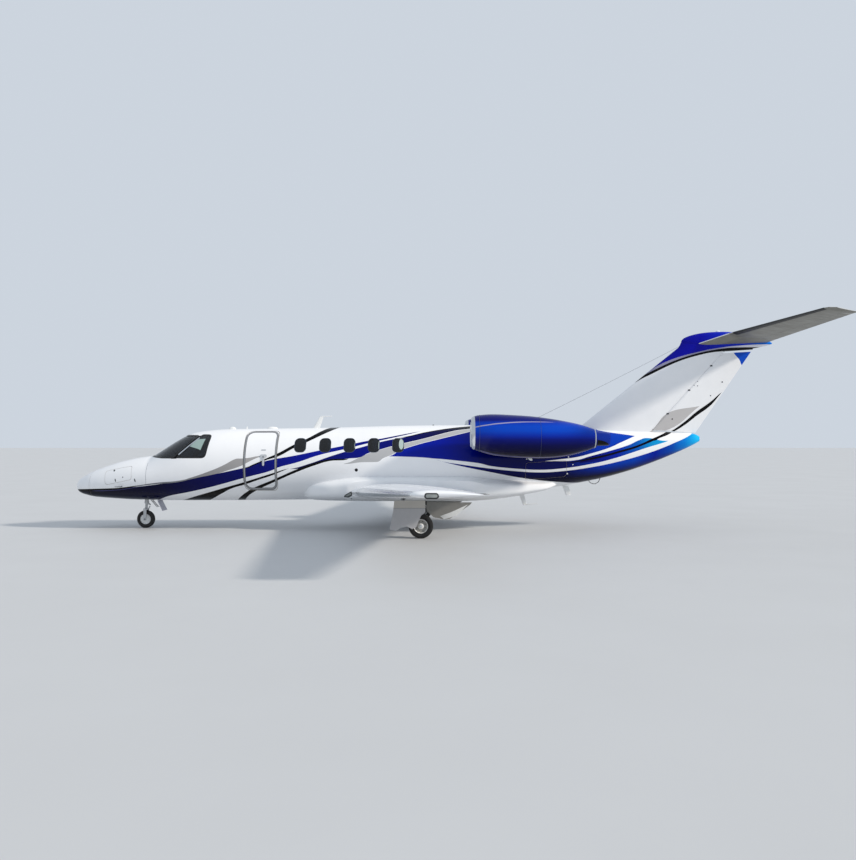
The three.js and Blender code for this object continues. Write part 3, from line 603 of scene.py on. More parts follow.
@dataclass(frozen=True)
class Stripe:
    """A painted band between two edges, seen from the side: x and z of each edge's points."""
    colour: str | tuple[tuple[float, str], ...]
    upper: Table
    lower: Table
    soft: float = 0.0

    def edge(self, tree: Tree, x: Socket, points: Table) -> Socket:
        """The height of one edge at each x, on a curve through its points."""
        start, end, low = points[0][0], points[-1][0], min(p[1] for p in points)
        tall = max(max(p[1] for p in points) - low, 1e-4)
        curve = add(tree, "ShaderNodeFloatCurve", {"Factor": 1.0, "Value": ranged(tree, x, start, end)})
        line = curve.mapping.curves[0]
        for i, (px, pz) in enumerate(points):
            spot = ((px - start) / (end - start), (pz - low) / tall)
            if i in (0, len(points) - 1):
                line.points[0 if i == 0 else -1].location = spot
            else:
                line.points.new(*spot)
        for point in line.points:
            point.handle_type = "AUTO_CLAMPED"
        curve.mapping.update()
        return add(tree, "ShaderNodeMath", {0: curve.outputs[0], 1: tall, 2: low},
                   operation="MULTIPLY_ADD").outputs[0]

    def over(self, tree: Tree, x: Socket, z: Socket, ground: Socket) -> Socket:
        """Paints the band over a colour.

        Args:
            tree: the material's nodes.
            x: the place along the aircraft.
            z: the height.
            ground: the colour under it.
        Returns:
            The colour with the band.
        """
        depth = add(tree, "ShaderNodeMath", {0: self.edge(tree, x, self.upper), 1: z}, operation="SUBTRACT")
        below = ranged(tree, depth.outputs[0], .003, .0035 + self.soft)
        above = add(tree, "ShaderNodeMath", {0: z, 1: self.edge(tree, x, self.lower)}, operation="GREATER_THAN")
        inside = add(tree, "ShaderNodeMath", {0: below, 1: above.outputs[0]}, operation="MULTIPLY").outputs[0]
        colour = linear(self.colour) if isinstance(self.colour, str) else fade(tree, x, self.colour)
        return mixed(tree, inside, ground, colour)


@dataclass(frozen=True)
class StripedEnamel(Finish):
    """Enamel in bands with no edge to feel between them, on one colour or on one that fades with height."""
    stripes: tuple[Stripe, ...] = ()
    fades: tuple[tuple[float, str], ...] = ()

    def tint(self, tree: Tree, where: Socket, ground: Socket) -> Socket:
        """Paints each stripe over the ground colour."""
        parts = add(tree, "ShaderNodeSeparateXYZ", {0: where}).outputs
        if self.fades:
            ground = fade(tree, parts["Z"], self.fades)
        for stripe in self.stripes:
            ground = stripe.over(tree, parts["X"], parts["Z"], ground)
        return ground


SILVER, LAVENDER, BLACK, WHITE = "#b2b3b5", "#9a97b4", "#020203", "#f4f5f7"
SWOOSH = ((-6.7, "#5c5d66"), (-5.6, "#7e8084"), (-5.0, "#929192"), (-4.0, "#a3a1a1"))
TAIL_BLUES_AND_PAINTED_REFLECTION = ((-.95, "#001c98"), (.2, "#001490"), (1.2, "#000858"), (3.0, "#000854"), (3.9, "#0034b0"),
              (4.6, "#0040b4"), (5.1, "#001c98"), (5.5, "#0048b0"), (5.8, "#087cd4"), (6.1, "#18b4f0"))
FUSELAGE_STRIPES = (
    # blue of the tail, from a point over the wing to the tail cone: one metallic blue, lighter and darker along x as
    # painted reflection and cyan at the cone as painted highlight
    Stripe(TAIL_BLUES_AND_PAINTED_REFLECTION, mm(-950, 1656, -906, 1664, -698, 1780, -275, 1921, 149, 2028, 576, 2133, 903, 2213, 1600, 2420,
                          3700, 2420, 3800, 2252, 4653, 2109, 4900, 2060, 5100, 2300, 6300, 2300),
           mm(-950, 1656, -906, 1655, -597, 1650, 6, 1615, 200, 1560, 314, 1525, 1355, 1300, 2226, 1143, 2901, 1069,
              3377, 1043, 3672, 1063, 3900, 1000, 6300, 1000)),
    # dark navy that deepens towards the keel: painted shade on the underside of the rear fuselage
    Stripe("#030328", mm(300, 1530, 1000, 1420, 1900, 1350, 2470, 1330, 3100, 1360, 3640, 1400, 4300, 1500,
                         4900, 1620, 5500, 1780, 5900, 1860, 6250, 1900),
           mm(300, 1530, 1355, 1300, 2226, 1143, 2901, 1069, 3377, 1043, 3900, 1000, 6000, 1000, 6250, 1900), soft=.2),
    # panel between the two white lines, brighter aft towards cyan as painted reflection, with the end of the fin's
    # black stroke across it
    Stripe(((3.4, "#000058"), (4.2, "#0420a0"), (4.7, "#0458b4"), (5.0, "#0a8ccc"), (5.4, "#10a0dc")),
           mm(3300, 1500, 3600, 1700, 4000, 1850, 4500, 2060, 4900, 2120, 5400, 2120, 5500, 2020),
           mm(3300, 1500, 4160, 1580, 4870, 1800, 5400, 1970, 5500, 2020)),
    Stripe("#010118", mm(2900, 1470, 3570, 1618, 3930, 1696, 4278, 1790, 4565, 1868, 4820, 1962, 5050, 2060,
                         5200, 2100),
           mm(2900, 1470, 3570, 1570, 3930, 1645, 4278, 1738, 4565, 1815, 4820, 1907, 5050, 2000, 5200, 2100)),
    # white line along the tail
    Stripe(WHITE, mm(-300, 1620, 0, 1615, 568, 1567, 1086, 1503, 1321, 1447, 2005, 1376, 2467, 1357, 2932, 1385,
                     3635, 1490, 4161, 1617, 4460, 1710, 4905, 1852, 5368, 1990, 5600, 2100, 5800, 2180, 6060, 2200),
           mm(-300, 1620, 0, 1610, 314, 1530, 645, 1479, 1322, 1385, 2007, 1316, 2471, 1295, 2936, 1320, 3640, 1412,
              4268, 1540, 4905, 1715, 5360, 1878, 5550, 1958, 5710, 2022, 5850, 2085, 5970, 2150, 6060, 2200)),
    # white that widens into the foot of the fin
    Stripe(WHITE, mm(2500, 1550, 2620, 1562, 2877, 1590, 3226, 1633, 3572, 1715, 4019, 1850, 4277, 1962, 4500, 2055,
                     4633, 2110, 4900, 2200, 5600, 2350, 6060, 2350),
           mm(2500, 1550, 2620, 1548, 2878, 1545, 3228, 1566, 3572, 1655, 4019, 1772, 4460, 1903, 4739, 2022,
              4905, 2063, 5340, 2000, 5450, 2000, 5600, 2030, 5800, 2090, 5970, 2180, 6060, 2350)),
    # the fin's black stroke where it crosses the hull
    Stripe(BLACK, mm(4950, 2020, 5050, 2060, 5200, 2120, 5420, 2210, 5600, 2290, 5650, 2300),
           mm(4950, 2020, 5050, 2000, 5200, 2060, 5420, 2140, 5600, 2240, 5650, 2300)),
    # silver under the thin end of the upper navy
    Stripe(SILVER, mm(-1920, 1500, -1889, 1503, -1595, 1622, -1383, 1719, -1120, 1800, -841, 1879, -587, 1941,
                      -136, 2048, 294, 2163, 581, 2229, 909, 2275, 1450, 2420, 1700, 2500),
           mm(-1920, 1500, -1889, 1488, -1535, 1525, -1183, 1532, -1051, 1613, -838, 1701, -698, 1785, -275, 1926,
              149, 2032, 577, 2138, 909, 2217, 1600, 2420, 1700, 2500)),
    # second navy band, lighter and darker along x as painted reflection
    Stripe(((-3.2, "#000644"), (-1.5, "#000c7c"), (-.6, "#00065c"), (.9, "#000010")),
           mm(-3120, 1378, -3101, 1380, -2673, 1497, -2219, 1657, -1892, 1760, -1563, 1851, -1125, 1974, -860, 2032,
              -590, 2075, -136, 2181, 296, 2254, 914, 2330, 1200, 2380, 1700, 2500),
           mm(-3120, 1378, -3101, 1375, -2477, 1488, -2218, 1569, -2042, 1591, -1778, 1611, -1595, 1626, -1383, 1723,
              -1120, 1804, -841, 1884, -587, 1946, -136, 2052, 294, 2167, 581, 2233, 914, 2278, 1300, 2380,
              1700, 2500)),
    # silver swoosh behind the cockpit
    Stripe(SWOOSH, mm(-5450, 1140, -5300, 1188, -5082, 1258, -4911, 1320, -4732, 1388, -4520, 1487, -4320, 1594,
                      -4270, 1609, -4155, 1612, -4000, 1628, -3785, 1662, -3740, 1648),
           mm(-5450, 1140, -5300, 1150, -5082, 1190, -4661, 1287, -4463, 1349, -4300, 1400, -4148, 1459, -4045, 1515,
              -3818, 1625, -3740, 1648)),
    # thin black edge over the second navy band
    Stripe(BLACK, mm(-750, 2070, -590, 2090, -136, 2192, 296, 2268, 500, 2295, 1100, 2370, 1300, 2450),
           mm(-750, 2070, -590, 2075, -136, 2172, 296, 2245, 500, 2268, 1100, 2330, 1300, 2450)),
    # black cockpit pillar
    Stripe(BLACK, mm(-5800, 1600, -5740, 1612, -5240, 2118, -5100, 2120),
           mm(-5800, 1600, -5640, 1602, -5120, 2115, -5100, 2120)),
    # main navy band from the nose: near black at the nose, brightest over the cabin and darker again aft, as painted
    # reflection
    Stripe(((-8.1, "#00000a"), (-6, "#00022e"), (-4, "#000660"), (-2.6, "#001090"), (0, "#000850")),
           mm(-8150, 893, -8042, 899, -7543, 922, -7135, 939, -6447, 989, -6002, 1045, -5563, 1121, -5129, 1197,
              -4644, 1291, -4200, 1386, -4034, 1424, -3774, 1516, -3494, 1589, -3064, 1663, -2476, 1784, -1938, 1890,
              -1393, 2003, -1128, 2046, -863, 2097, -378, 2190, -200, 2220),
           mm(-8150, 400, -6600, 420, -6418, 568, -6170, 662, -5868, 763, -5404, 855, -4953, 956, -4671, 1028,
              -4213, 1155, -4043, 1200, -3494, 1349, -3391, 1400, -2935, 1525, -2445, 1688, -1914, 1811, -1390, 1943,
              -1126, 2003, -862, 2061, -378, 2174, -200, 2220)),
    # thin black line over the navy from the nose, and the grey that takes its place and leads to the swoosh
    Stripe("#3e3e68", mm(-7700, 868, -7553, 880, -7086, 903, -6566, 972, -6000, 1044),
           mm(-7700, 868, -7561, 862, -7092, 885, -6571, 955, -6000, 1044)),
    Stripe(BLACK, mm(-8150, 870, -8002, 882, -7545, 915, -7077, 942, -6560, 1001, -6100, 1050, -5771, 1090),
           mm(-8150, 850, -8028, 846, -7553, 880, -7086, 903, -6566, 980, -6100, 1042, -5771, 1090)),
    Stripe(SWOOSH, mm(-6700, 985, -6560, 1004, -5980, 1083, -5683, 1105, -5300, 1172, -5120, 1210, -4700, 1300,
                      -4550, 1330),
           mm(-6700, 985, -6560, 990, -5980, 1048, -5683, 1070, -5300, 1150, -5120, 1190, -4700, 1278, -4550, 1330)),
    # lower black stroke
    Stripe(BLACK, mm(-5900, 570, -5727, 625, -5280, 758, -4882, 872, -4389, 1014, -4154, 1080, -3935, 1148,
                     -3498, 1284, -3264, 1358, -3100, 1400),
           mm(-5900, 550, -5243, 579, -4967, 678, -4674, 819, -4420, 942, -4093, 1037, -3817, 1132, -3501, 1235,
              -3265, 1333, -3100, 1400)),
    # long black stroke
    Stripe(BLACK, mm(-4480, 580, -4391, 662, -3989, 928, -3465, 1150, -2872, 1406, -2556, 1519, -2218, 1598,
                     -1866, 1606, -1800, 1608),
           mm(-4300, 580, -4243, 640, -3974, 843, -3471, 1082, -2873, 1340, -2556, 1457, -2218, 1554, -1865, 1580,
              -1800, 1608)),
    # black edge across the door that climbs over the windows
    Stripe(BLACK, mm(-4120, 1406, -4070, 1415, -3900, 1487, -3720, 1565, -3633, 1611, -3398, 1714, -3032, 1917,
                     -2767, 2046, -2307, 2298, -2133, 2353, -1950, 2420),
           mm(-4120, 1406, -4070, 1400, -3900, 1455, -3720, 1530, -3632, 1571, -3394, 1641, -3024, 1839, -2757, 1966,
              -2271, 2212, -2018, 2332, -1950, 2360)),
)
# Polyurethane aircraft enamel, sprayed and clear-coated: a wet, deep gloss with a faint ripple.
LIVERY = StripedEnamel("livery_enamel", WHITE, "#eceef1", (.12, .2), .35, gloss=.13, stripes=FUSELAGE_STRIPES)
# The same white enamel where no band crosses it: the wings and the belly fairing.
ENAMEL = Finish("white_enamel", WHITE, "#e9ecef", (.15, .24), .3, gloss=.4)
# Blues by height on the nacelles and pylons: painted highlight at mid-side, painted shade towards the bottom.
NACELLE_BLUES_AND_PAINTED_LIGHT = ((1.6, "#02001c"), (1.75, "#02002c"), (1.9, "#00044c"), (2.02, "#001074"), (2.1, "#0028a0"),
                 (2.2, "#0040b8"), (2.3, "#0040b8"), (2.38, "#0030a4"), (2.43, "#000a6c"), (2.6, "#00065c"))
# Mica-filled blue base coat under clear coat, with a pinstripe above and below; its blue fades with height, lighter at
# mid-side as painted highlight and near black at the bottom as painted shade.
PEARL = StripedEnamel("blue_pearl_enamel", "#0d1f9c", "#0b1788", (.12, .2), .2, gloss=.15, stripes=(
    Stripe(LAVENDER, mm(920, 2290, 955, 2302, 1200, 2343, 1480, 2376, 2030, 2403, 2300, 2402, 2700, 2385),
           mm(920, 2265, 955, 2276, 1200, 2318, 1480, 2352, 2030, 2384, 2300, 2386, 2700, 2385)),
    Stripe("#56507c", mm(1000, 1800, 1100, 1780, 1300, 1730, 1480, 1702, 1750, 1675, 2150, 1656, 2480, 1660,
                         2860, 1698, 3240, 1788),
           mm(1000, 1800, 1100, 1755, 1300, 1700, 1480, 1674, 1750, 1650, 2150, 1632, 2480, 1634, 2860, 1673,
              3240, 1765))), fades=NACELLE_BLUES_AND_PAINTED_LIGHT)
# Zinc-chromate primer and pale lining inside the shell: flat and chalky.
LINING = Finish("cabin_lining", "#cfc8ba", "#c2bbac", (.6, .75), .05)
# Bare aluminium, polished by hand: bright, with fine scratches along the edge.
POLISHED = Finish("polished_aluminium", "#d3d6da", "#bfc3c8", (.12, .26), .02, metallic=1.0, stretch=(1, 6, 1))
# Stretched acrylic and glass laminate, grey-tinted: dark from outside, sharp reflections.
GLASS = Finish("tinted_glass", "#46505a", "#424c56", (.01, .03), .5, clear=1.0, ior=1.49)
# Moulded tyre rubber, dusty: nearly black with a grey bloom.
RUBBER = Finish("tyre_rubber", "#1c1c1e", "#2b2a29", (.7, .9), .012, relief=.0006)
# Neoprene de-icing boot, brushed with dressing: black with a soft gloss.
BOOT = Finish("neoprene_boot", "#121214", "#1b1b1d", (.35, .5), .03)
# Epoxy-painted gear forging: light grey, slightly pebbled.
FORGING = Finish("painted_forging", "#c9ccce", "#b4b7b9", (.35, .5), .01, relief=.0003)
# Satin polyurethane on the inboard gear doors, in a mid grey that is painted shade from the wing above.
DOOR_GREY = Finish("grey_gear_door", "#8f8e8a", "#83827e", (.35, .5), .06)
# White-painted aluminium wheel half: bright with brake dust.
WHEEL = Finish("painted_wheel", "#f6f7f7", "#d6d8d7", (.3, .45), .03)
# Hard-chromed piston: mirror bright.
CHROME = Finish("chromed_piston", "#dfe2e5", "#cfd3d7", (.05, .12), .02, metallic=1.0)
# Cast and machined steel and titanium in the engine: dull grey.
STEEL = Finish("engine_steel", "#8b8d90", "#6f7174", (.3, .5), .02, metallic=1.0)
# Nozzle steel, blue as heat-tinted steel and as painted reflection of the blue hull; the black over its lower part is
# painted shade.
NOZZLE_BLUE_AND_PAINTED_SHADE = StripedEnamel("heat_blued_steel", "#0c38b0", "#0a2c98", (.25, .4), .05, metallic=.6, stripes=(
    Stripe("#06060a", ((3.3, 2.03), (3.525, 2.02), (3.7, 1.98), (3.8, 1.9), (3.81, 1.88)), ((3.3, 1.7), (3.82, 1.7))),))
# Extruded rubber glazing seal and black retainer paint: dark with a low sheen.
SEAL = Finish("black_glazing_seal", "#0b0b0d", "#131315", (.3, .45), .02)
# Anodised window frames: a cool grey, satin.
FRAME = Finish("anodised_window_frame", "#454d5a", "#39414e", (.3, .4), .03, metallic=.3)
# Brushed and scuffed aluminium edge of the door, dull and greenish.
DOOR_EDGE = Finish("scuffed_door_edge", "#9fa1a5", "#868a8c", (.3, .5), .02, metallic=.3, stretch=(1, 1, 8))
# Rubber seal round the metal edge: dark grey, dull.
DOOR_SEAL = Finish("door_seal", "#46464a", "#56565a", (.5, .7), .02)
# Tinted acrylic sun visor, folded up behind the glass: grey-green.
VISOR = Finish("acrylic_sun_visor", "#9ab0ac", "#8ca29e", (.1, .2), .1)
# Pleated cabin blind: pale green-grey cloth.
BLIND = Finish("window_blind", "#b8c8c4", "#aab9b6", (.7, .9), .004, relief=.0004, stretch=(1, 1, 6))
# White paint on small fittings, a little chalky.
FITTING = Finish("white_fitting", "#f3f4f4", "#e3e5e5", (.3, .45), .05, coat=.2)
# Cast aluminium door handle, satin and a little worn: pale grey.
HANDLE = Finish("satin_handle", "#d2d4d7", "#b9bcc0", (.25, .4), .02, metallic=.4)
# Black-painted steel brackets and ports: dull.
BRACKET = Finish("black_bracket", "#17181a", "#222326", (.4, .6), .03)
# Clear acrylic lamp lens over a bright reflector: white and sharp.
LENS = Finish("lamp_lens", "#f4f7fa", "#dfe6ec", (.02, .06), .05, coat=1.0)
# Smoked acrylic over the lamps of the wing tips and the belly: dark and glossy.
SMOKED = Finish("smoked_lamp_cover", "#a9afad", "#5a605e", (.03, .08), .05, coat=1.0)
# Full-grain seat leather, waxed: cream with a fine pebble.
LEATHER = Finish("cream_leather", "#cdbfa6", "#b9aa90", (.38, .55), .004, relief=.0005, sheen=.2)
# Cut-pile wool carpet: grey-blue, matt, with tufts.
CARPET = Finish("wool_carpet", "#5b6470", "#4c545f", (.85, 1.0), .006, relief=.0015, sheen=.5)
# Satin lacquered seat and sidewall trim: warm grey.
TRIM = Finish("satin_trim", "#8f887c", "#7f796e", (.35, .5), .05)
# Vinyl-covered glareshield and crackle-painted panel: black, no glare.
PANEL = Finish("crackle_black_panel", "#1d1e20", "#2a2b2e", (.6, .8), .003, relief=.0004)
# Switched-off display glass: black and mirror smooth.
SCREEN = Finish("display_glass", "#07090c", "#0b0e12", (.03, .06), .1, coat=1.0)
# Magnesium wheel web in grey primer, dusted by the brakes.
WEB = Finish("dusty_wheel_web", "#b2b2b0", "#8e8b86", (.4, .6), .02)
# Carbon and steel brake pack: charcoal.
BRAKE = Finish("brake_pack", "#3a3a3c", "#2a2a2b", (.5, .7), .01, metallic=.6)
# Grey gear-door enamel on the strut door: pinker above its split line.
STRUT_DOOR = StripedEnamel("grey_strut_door", "#b4b4b6", "#a9a9ac", (.3, .45), .08, stripes=(
    Stripe("#bab6af", ((-1.0, .9), (0, .9)), ((-1.0, .64), (0, .64))),
    Stripe("#4a4c4e", ((-1.0, .645), (0, .645)), ((-1.0, .636), (0, .636)))))
# The same enamel, paler, on the nose gear door.
NOSE_DOOR_GREY = Finish("pale_gear_door", "#a9a8b6", "#9c9baa", (.35, .5), .06, coat=.2)


# ---- fuselage ----

@dataclass
class Hull:
    """The fuselage's outer surface: top, bottom, half width and height of the widest point along x."""
    stations: Table = (
        (-8.13, .99, .95, .022, .97), (-8.112, 1.043, .893, .078, .967), (-8.085, 1.085, .844, .122, .964),
        (-7.995, 1.164, .789, .205, .968), (-7.885, 1.226, .756, .27, .976), (-7.776, 1.284, .729, .33, .985),
        (-7.555, 1.374, .701, .412, 1.01), (-7.334, 1.45, .685, .478, 1.04), (-7.115, 1.517, .67, .535, 1.072),
        (-6.894, 1.572, .657, .585, 1.104), (-6.673, 1.616, .65, .63, 1.138), (-6.454, 1.648, .646, .668, 1.172),
        (-6.343, 1.663, .643, .686, 1.19), (-6.24, 1.724, .641, .7, 1.21), (-6.1, 1.815, .639, .718, 1.24),
        (-5.95, 1.912, .637, .738, 1.272), (-5.75, 2.036, .635, .762, 1.322), (-5.571, 2.13, .634, .78, 1.362),
        (-5.46, 2.172, .634, .788, 1.385), (-5.3, 2.208, .635, .797, 1.408), (-5.129, 2.233, .636, .804, 1.426),
        (-4.76, 2.264, .637, .814, 1.45), (-4.0, 2.278, .64, .818, 1.46), (-2.318, 2.303, .662, .82, 1.482),
        (-1.0, 2.34, .698, .82, 1.518), (.055, 2.357, .722, .82, 1.538), (.93, 2.36, .752, .812, 1.556),
        (1.853, 2.352, .812, .754, 1.592), (2.558, 2.33, .893, .672, 1.64), (3.028, 2.308, .968, .612, 1.675),
        (3.498, 2.285, 1.054, .548, 1.71), (3.97, 2.262, 1.152, .482, 1.745), (4.364, 2.245, 1.256, .424, 1.78),
        (4.618, 2.235, 1.333, .386, 1.805), (5.055, 2.218, 1.487, .32, 1.865), (5.673, 2.192, 1.737, .222, 1.965),
        (6.092, 2.155, 1.936, .112, 2.045), (6.18, 2.106, 1.99, .058, 2.048))
    around: int = 120
    pitch: float = .04
    close: float = .004

    def rings(self, places: Array, inset: float = 0, around: int = 0) -> Array:
        """The surface's rings.

        Args:
            places: x of each ring.
            inset: how far they are drawn in.
            around: corners in a ring, or 0 for the usual number.
        Returns:
            For each ring, its corners.
        """
        turn = circle(around or self.around)
        top, bottom, half, middle = (column[:, None] for column in read(self.stations, places).T)
        tall = np.where(np.sin(turn) > 0, top - inset - middle, middle - bottom - inset)
        made = np.empty((len(places), len(turn), 3))
        made[..., 0] = np.asarray(places)[:, None]
        made[..., 1] = (half - inset) * np.cos(turn)
        made[..., 2] = middle + np.maximum(tall, .002) * np.sin(turn)
        return made

    def solid(self, name: str, start: float, end: float, inset: float = 0, step: float = .05,
              around: int = 0) -> Piece:
        """The body between two places, drawn in by an inset."""
        knots = np.array([row[0] for row in self.stations if start + .01 < row[0] < end - .01])
        even = np.linspace(start, end, max(int((end - start) / step), 2) + 1)
        free = [p for p in even if p in (start, end) or not len(knots) or np.min(np.abs(knots - p)) > step * .3]
        return loft(name, self.rings(np.unique(np.concatenate([free, knots])), inset, around))

    def shell(self, name: str, start: float, end: float, depth: Place) -> Piece:
        """The wall between two depths below the surface, over a stretch of x."""
        steps = max(int((end - start) / self.pitch), 2)
        places = np.linspace(max(start, -8.12), min(end, 6.17), steps + 1)
        return loft(name, [*self.rings(places, depth[0]), *self.rings(places, depth[1])[::-1]], looped=True)

    def through(self, outline: Sequence[Place], side: Side, near: float = .04) -> Piece:
        """A prism across one side of the fuselage."""
        return prism("opening", outline, *sorted((side.value * near, side.value)))

    def patch(self, name: str, outline: Sequence[Place], side: Side = Side.PORT,
              depth: tuple[float, float] = (-.0015, .003), near: float = .04,
              hole: Sequence[Place] | None = None) -> Piece:
        """A plate that follows the surface.

        Args:
            name: the plate's name.
            outline: its outline from the side.
            side: the side it is on.
            depth: how deep its outer and inner faces lie.
            near: how far from the middle it may start.
            hole: an opening in it.
        Returns:
            The plate.
        """
        ends = [p[0] for p in outline]
        made = self.shell(name, min(ends) - .03, max(ends) + .03, depth)
        cuts = [(CUT, self.through(hole, side, near))] if hole else []
        return carved(made, (KEEP, self.through(outline, side, near)), *cuts)

    def point(self, x: float, z: float, side: Side) -> Array:
        """The surface at x and height z on one side."""
        top, bottom, half, middle = read(self.stations, x)[0]
        tall = top - middle if z > middle else middle - bottom
        y = half * math.sqrt(max(1 - ((z - middle) / tall) ** 2, 0))
        return np.array([x, side.value * y, z])

    def crown(self, x: float) -> float:
        """The height of the top at x."""
        return float(read(self.stations, x)[0, 0])

    def distance(self, points: Array) -> Array:
        """0 on the surface, below 0 inside and above 0 outside, without a unit."""
        top, bottom, half, middle = read(self.stations, points[:, 0]).T
        tall = np.where(points[:, 2] > middle, top - middle, middle - bottom)
        return (points[:, 1] / half) ** 2 + ((points[:, 2] - middle) / tall) ** 2 - 1

    def normals(self, points: Array) -> Array:
        """The surface's direction at each point."""
        found = np.empty_like(points)
        for axis in range(3):
            by = np.zeros(3)
            by[axis] = .002
            found[:, axis] = self.distance(points + by) - self.distance(points - by)
        return found / np.linalg.norm(found, axis=1)[:, None]

    def skinned(self, piece: Piece) -> Piece:
        """Dresses a piece cut from the hull: livery and the true surface's normals outside, lining elsewhere."""
        mesh = piece.data
        points = np.zeros(len(mesh.vertices) * 3)
        mesh.vertices.foreach_get("co", points)
        points = points.reshape(-1, 3)
        on = np.abs(self.distance(points)) < self.close
        wanted = self.normals(points)
        middle, flat = centres(piece)
        outer = np.array([all(on[v] for v in f.vertices) for f in mesh.polygons])
        outer &= np.einsum("ij,ij->i", self.normals(middle), flat) > .8
        tip = middle[:, 0] < self.stations[0][0] + .005
        dressed(piece, LIVERY, LINING, slots=~(outer | tip))
        normals = []
        for face, out in zip(mesh.polygons, outer):
            normals += [tuple(wanted[v]) if out else tuple(flat[face.index]) for v in face.vertices]
        mesh.shade_smooth()
        mesh.normals_split_custom_set(normals)
        return piece


HULL = Hull()
WINDSHIELD = mm(-6320, 1648, -6170, 1632, -5990, 1616, -5712, 1616, -5218, 2120, -5575, 2128, -5760, 2260, -6500, 1850)
SIDE_WINDOW = mm(-5640, 1618, -5040, 1618, -4985, 1650, -4966, 1705, -4918, 2070, -4930, 2120, -4980, 2140, -5140, 2142)
CABIN_WINDOWS = (-2.877, -2.325, -1.786, -1.248, -.709)
EXIT_WINDOW = -3.42


@dataclass
class HingedDoor:
    """A panel that swings on a straight hinge line: the line's ends, the way down it, and its reach."""
    start: Place
    end: Place
    down: Place
    reach: float = .33
    depth: float = .06
    radius: float = .06

    def cutter(self, spare: float, side: Side = Side.PORT) -> Piece:
        """The prism that cuts the panel, grown by a spare width."""
        a, b = np.array(self.start, float), np.array(self.end, float)
        u = direction(*(b - a))
        v = direction(*(self.down - u * np.dot(u, self.down)))
        w = direction(*np.cross(u, v))
        outline = rounded(-spare, -spare, np.linalg.norm(b - a) + spare, self.reach + spare, self.radius)
        made = prism("door", outline, -.3, self.depth + spare, (u, v, w if w[1] > 0 else -w), a)
        return made if side is Side.PORT else swapped(made)


NOSE_DOOR = HingedDoor((-7.33, -.376, 1.318), (-6.69, -.5, 1.438), (0, -.4, -1))
AFT_DOOR = HingedDoor((2.11, -.585, 1.13), (3.03, -.458, 1.19), (0, -.36, 1), reach=.4)


@dataclass(frozen=True)
class CabinDoor:
    """The entry door on the port side: its outline along x and along its leaning hinge line."""
    hinge: Place = (0, -.824, 1.63)
    line: Place = (0, .2019, .9794)
    fore: float = -4.13
    aft: float = -3.395
    low: float = -.668
    high: float = .676
    radii: tuple[float, ...] = (.11, .16, .13, .1)
    step: float = .03
    wall: float = .06
    strip: float = .046
    strip_radii: tuple[float, ...] = (.16, .19, .16, .14)
    handle: tuple[float, float] = (-3.688, 1.664)

    def outline(self, spare: float, layer: int = 0) -> list:
        """The outline, grown by a spare width; deeper layers stop shorter at the aft edge."""
        return rounded(self.fore - spare, self.low - spare, self.aft + spare - self.step * layer,
                       self.high + spare, self.radii)

    def column(self, name: str, outline: list) -> Piece:
        """The prism through the wall over an outline."""
        view = ((1, 0, 0), self.line, tuple(np.cross((1, 0, 0), self.line)))
        return prism(name, outline, -.62, .3, view, self.hinge)

    def cutter(self, spare: float) -> Piece:
        """The three stepped layers of the door as one body."""
        layers = []
        for layer in range(3):
            outer = -.04 if layer == 0 else self.wall / 3 * layer - .001
            inner = self.wall + .04 if layer == 2 else self.wall / 3 * (layer + 1) + spare / 2
            shell = HULL.solid("layer", -4.4, -3.2, outer, .1, 96)
            layers.append(carved(shell, (CUT, HULL.solid("hollow", -4.41, -3.19, inner, .1, 96)),
                                 (KEEP, self.column("outline", self.outline(spare, layer)))))
        return carved(layers[0], (JOIN, layers[1]), (JOIN, layers[2]))

    def build(self) -> None:
        """Makes the door with its metal edge strip and its handle."""
        shell = HULL.solid("cabin_door_leaf", -4.4, -3.2, 0, .04)
        carved(shell, (CUT, HULL.solid("hollow", -4.41, -3.19, self.wall, .1)), (KEEP, self.cutter(0)))
        placed(HULL.skinned(shell), "cabin_door", "skin", "cabin_door")
        rim = rounded(self.fore, self.low, self.aft, self.high, self.strip_radii)
        edge, seal = (carved(
            HULL.shell(name, self.fore - .03, self.aft + .03, (-proud, .02)),
            (KEEP, self.column("outer", grown(rim, -.002 - inset))),
            (CUT, self.column("inner", grown(rim, inset - self.strip))))
            for name, proud, inset in (("door_edge", .003, .008), ("door_seal", .0012, 0)))
        x, z = self.handle
        mark = HULL.patch("door_mark", rounded(x - .06, z + .115, x + .05, z + .145, .0149))
        boss = bevelled(HULL.patch("door_boss", rounded(x - .075, z - .035, x + .075, z + .035, .0349),
                                   depth=(-.01, .004)), .003)
        lever = bevelled(HULL.patch("door_lever", rounded(x - .0225, z - .216, x + .0225, z - .004, .02),
                                    depth=(-.022, -.008)), .004)
        pin = HULL.patch("door_lever_pin", oval(x, z - .02, .016), depth=(-.024, .002))
        for piece, finish in ((edge, DOOR_EDGE), (seal, DOOR_SEAL), (mark, HANDLE), (boss, HANDLE), (lever, HANDLE),
                              (pin, STEEL)):
            placed(dressed(piece, finish), "cabin_door")


@dataclass(frozen=True)
class Plate:
    """Plates of one kind that lie on the hull: their outlines, depth and holes, and the sides they are on."""
    name: str
    finish: Finish
    outlines: Sequence
    depth: tuple[float, float] = (-.0015, .003)
    near: float = .04
    holes: Sequence = ()
    sides: tuple[Side, ...] = tuple(Side)
    rides: str = "airframe"

    def build(self) -> None:
        """Makes the plates, one piece for each side."""
        for side in self.sides:
            pieces = [HULL.patch("plate", outline, side, self.depth, self.near, hole)
                      for outline, hole in zip_longest(self.outlines, self.holes)]
            piece = joined(f"{self.name}_{side.word}", pieces)
            rides = self.rides if self.rides == "airframe" else f"{self.rides}_{side.word}"
            placed(dressed(piece, self.finish), rides)


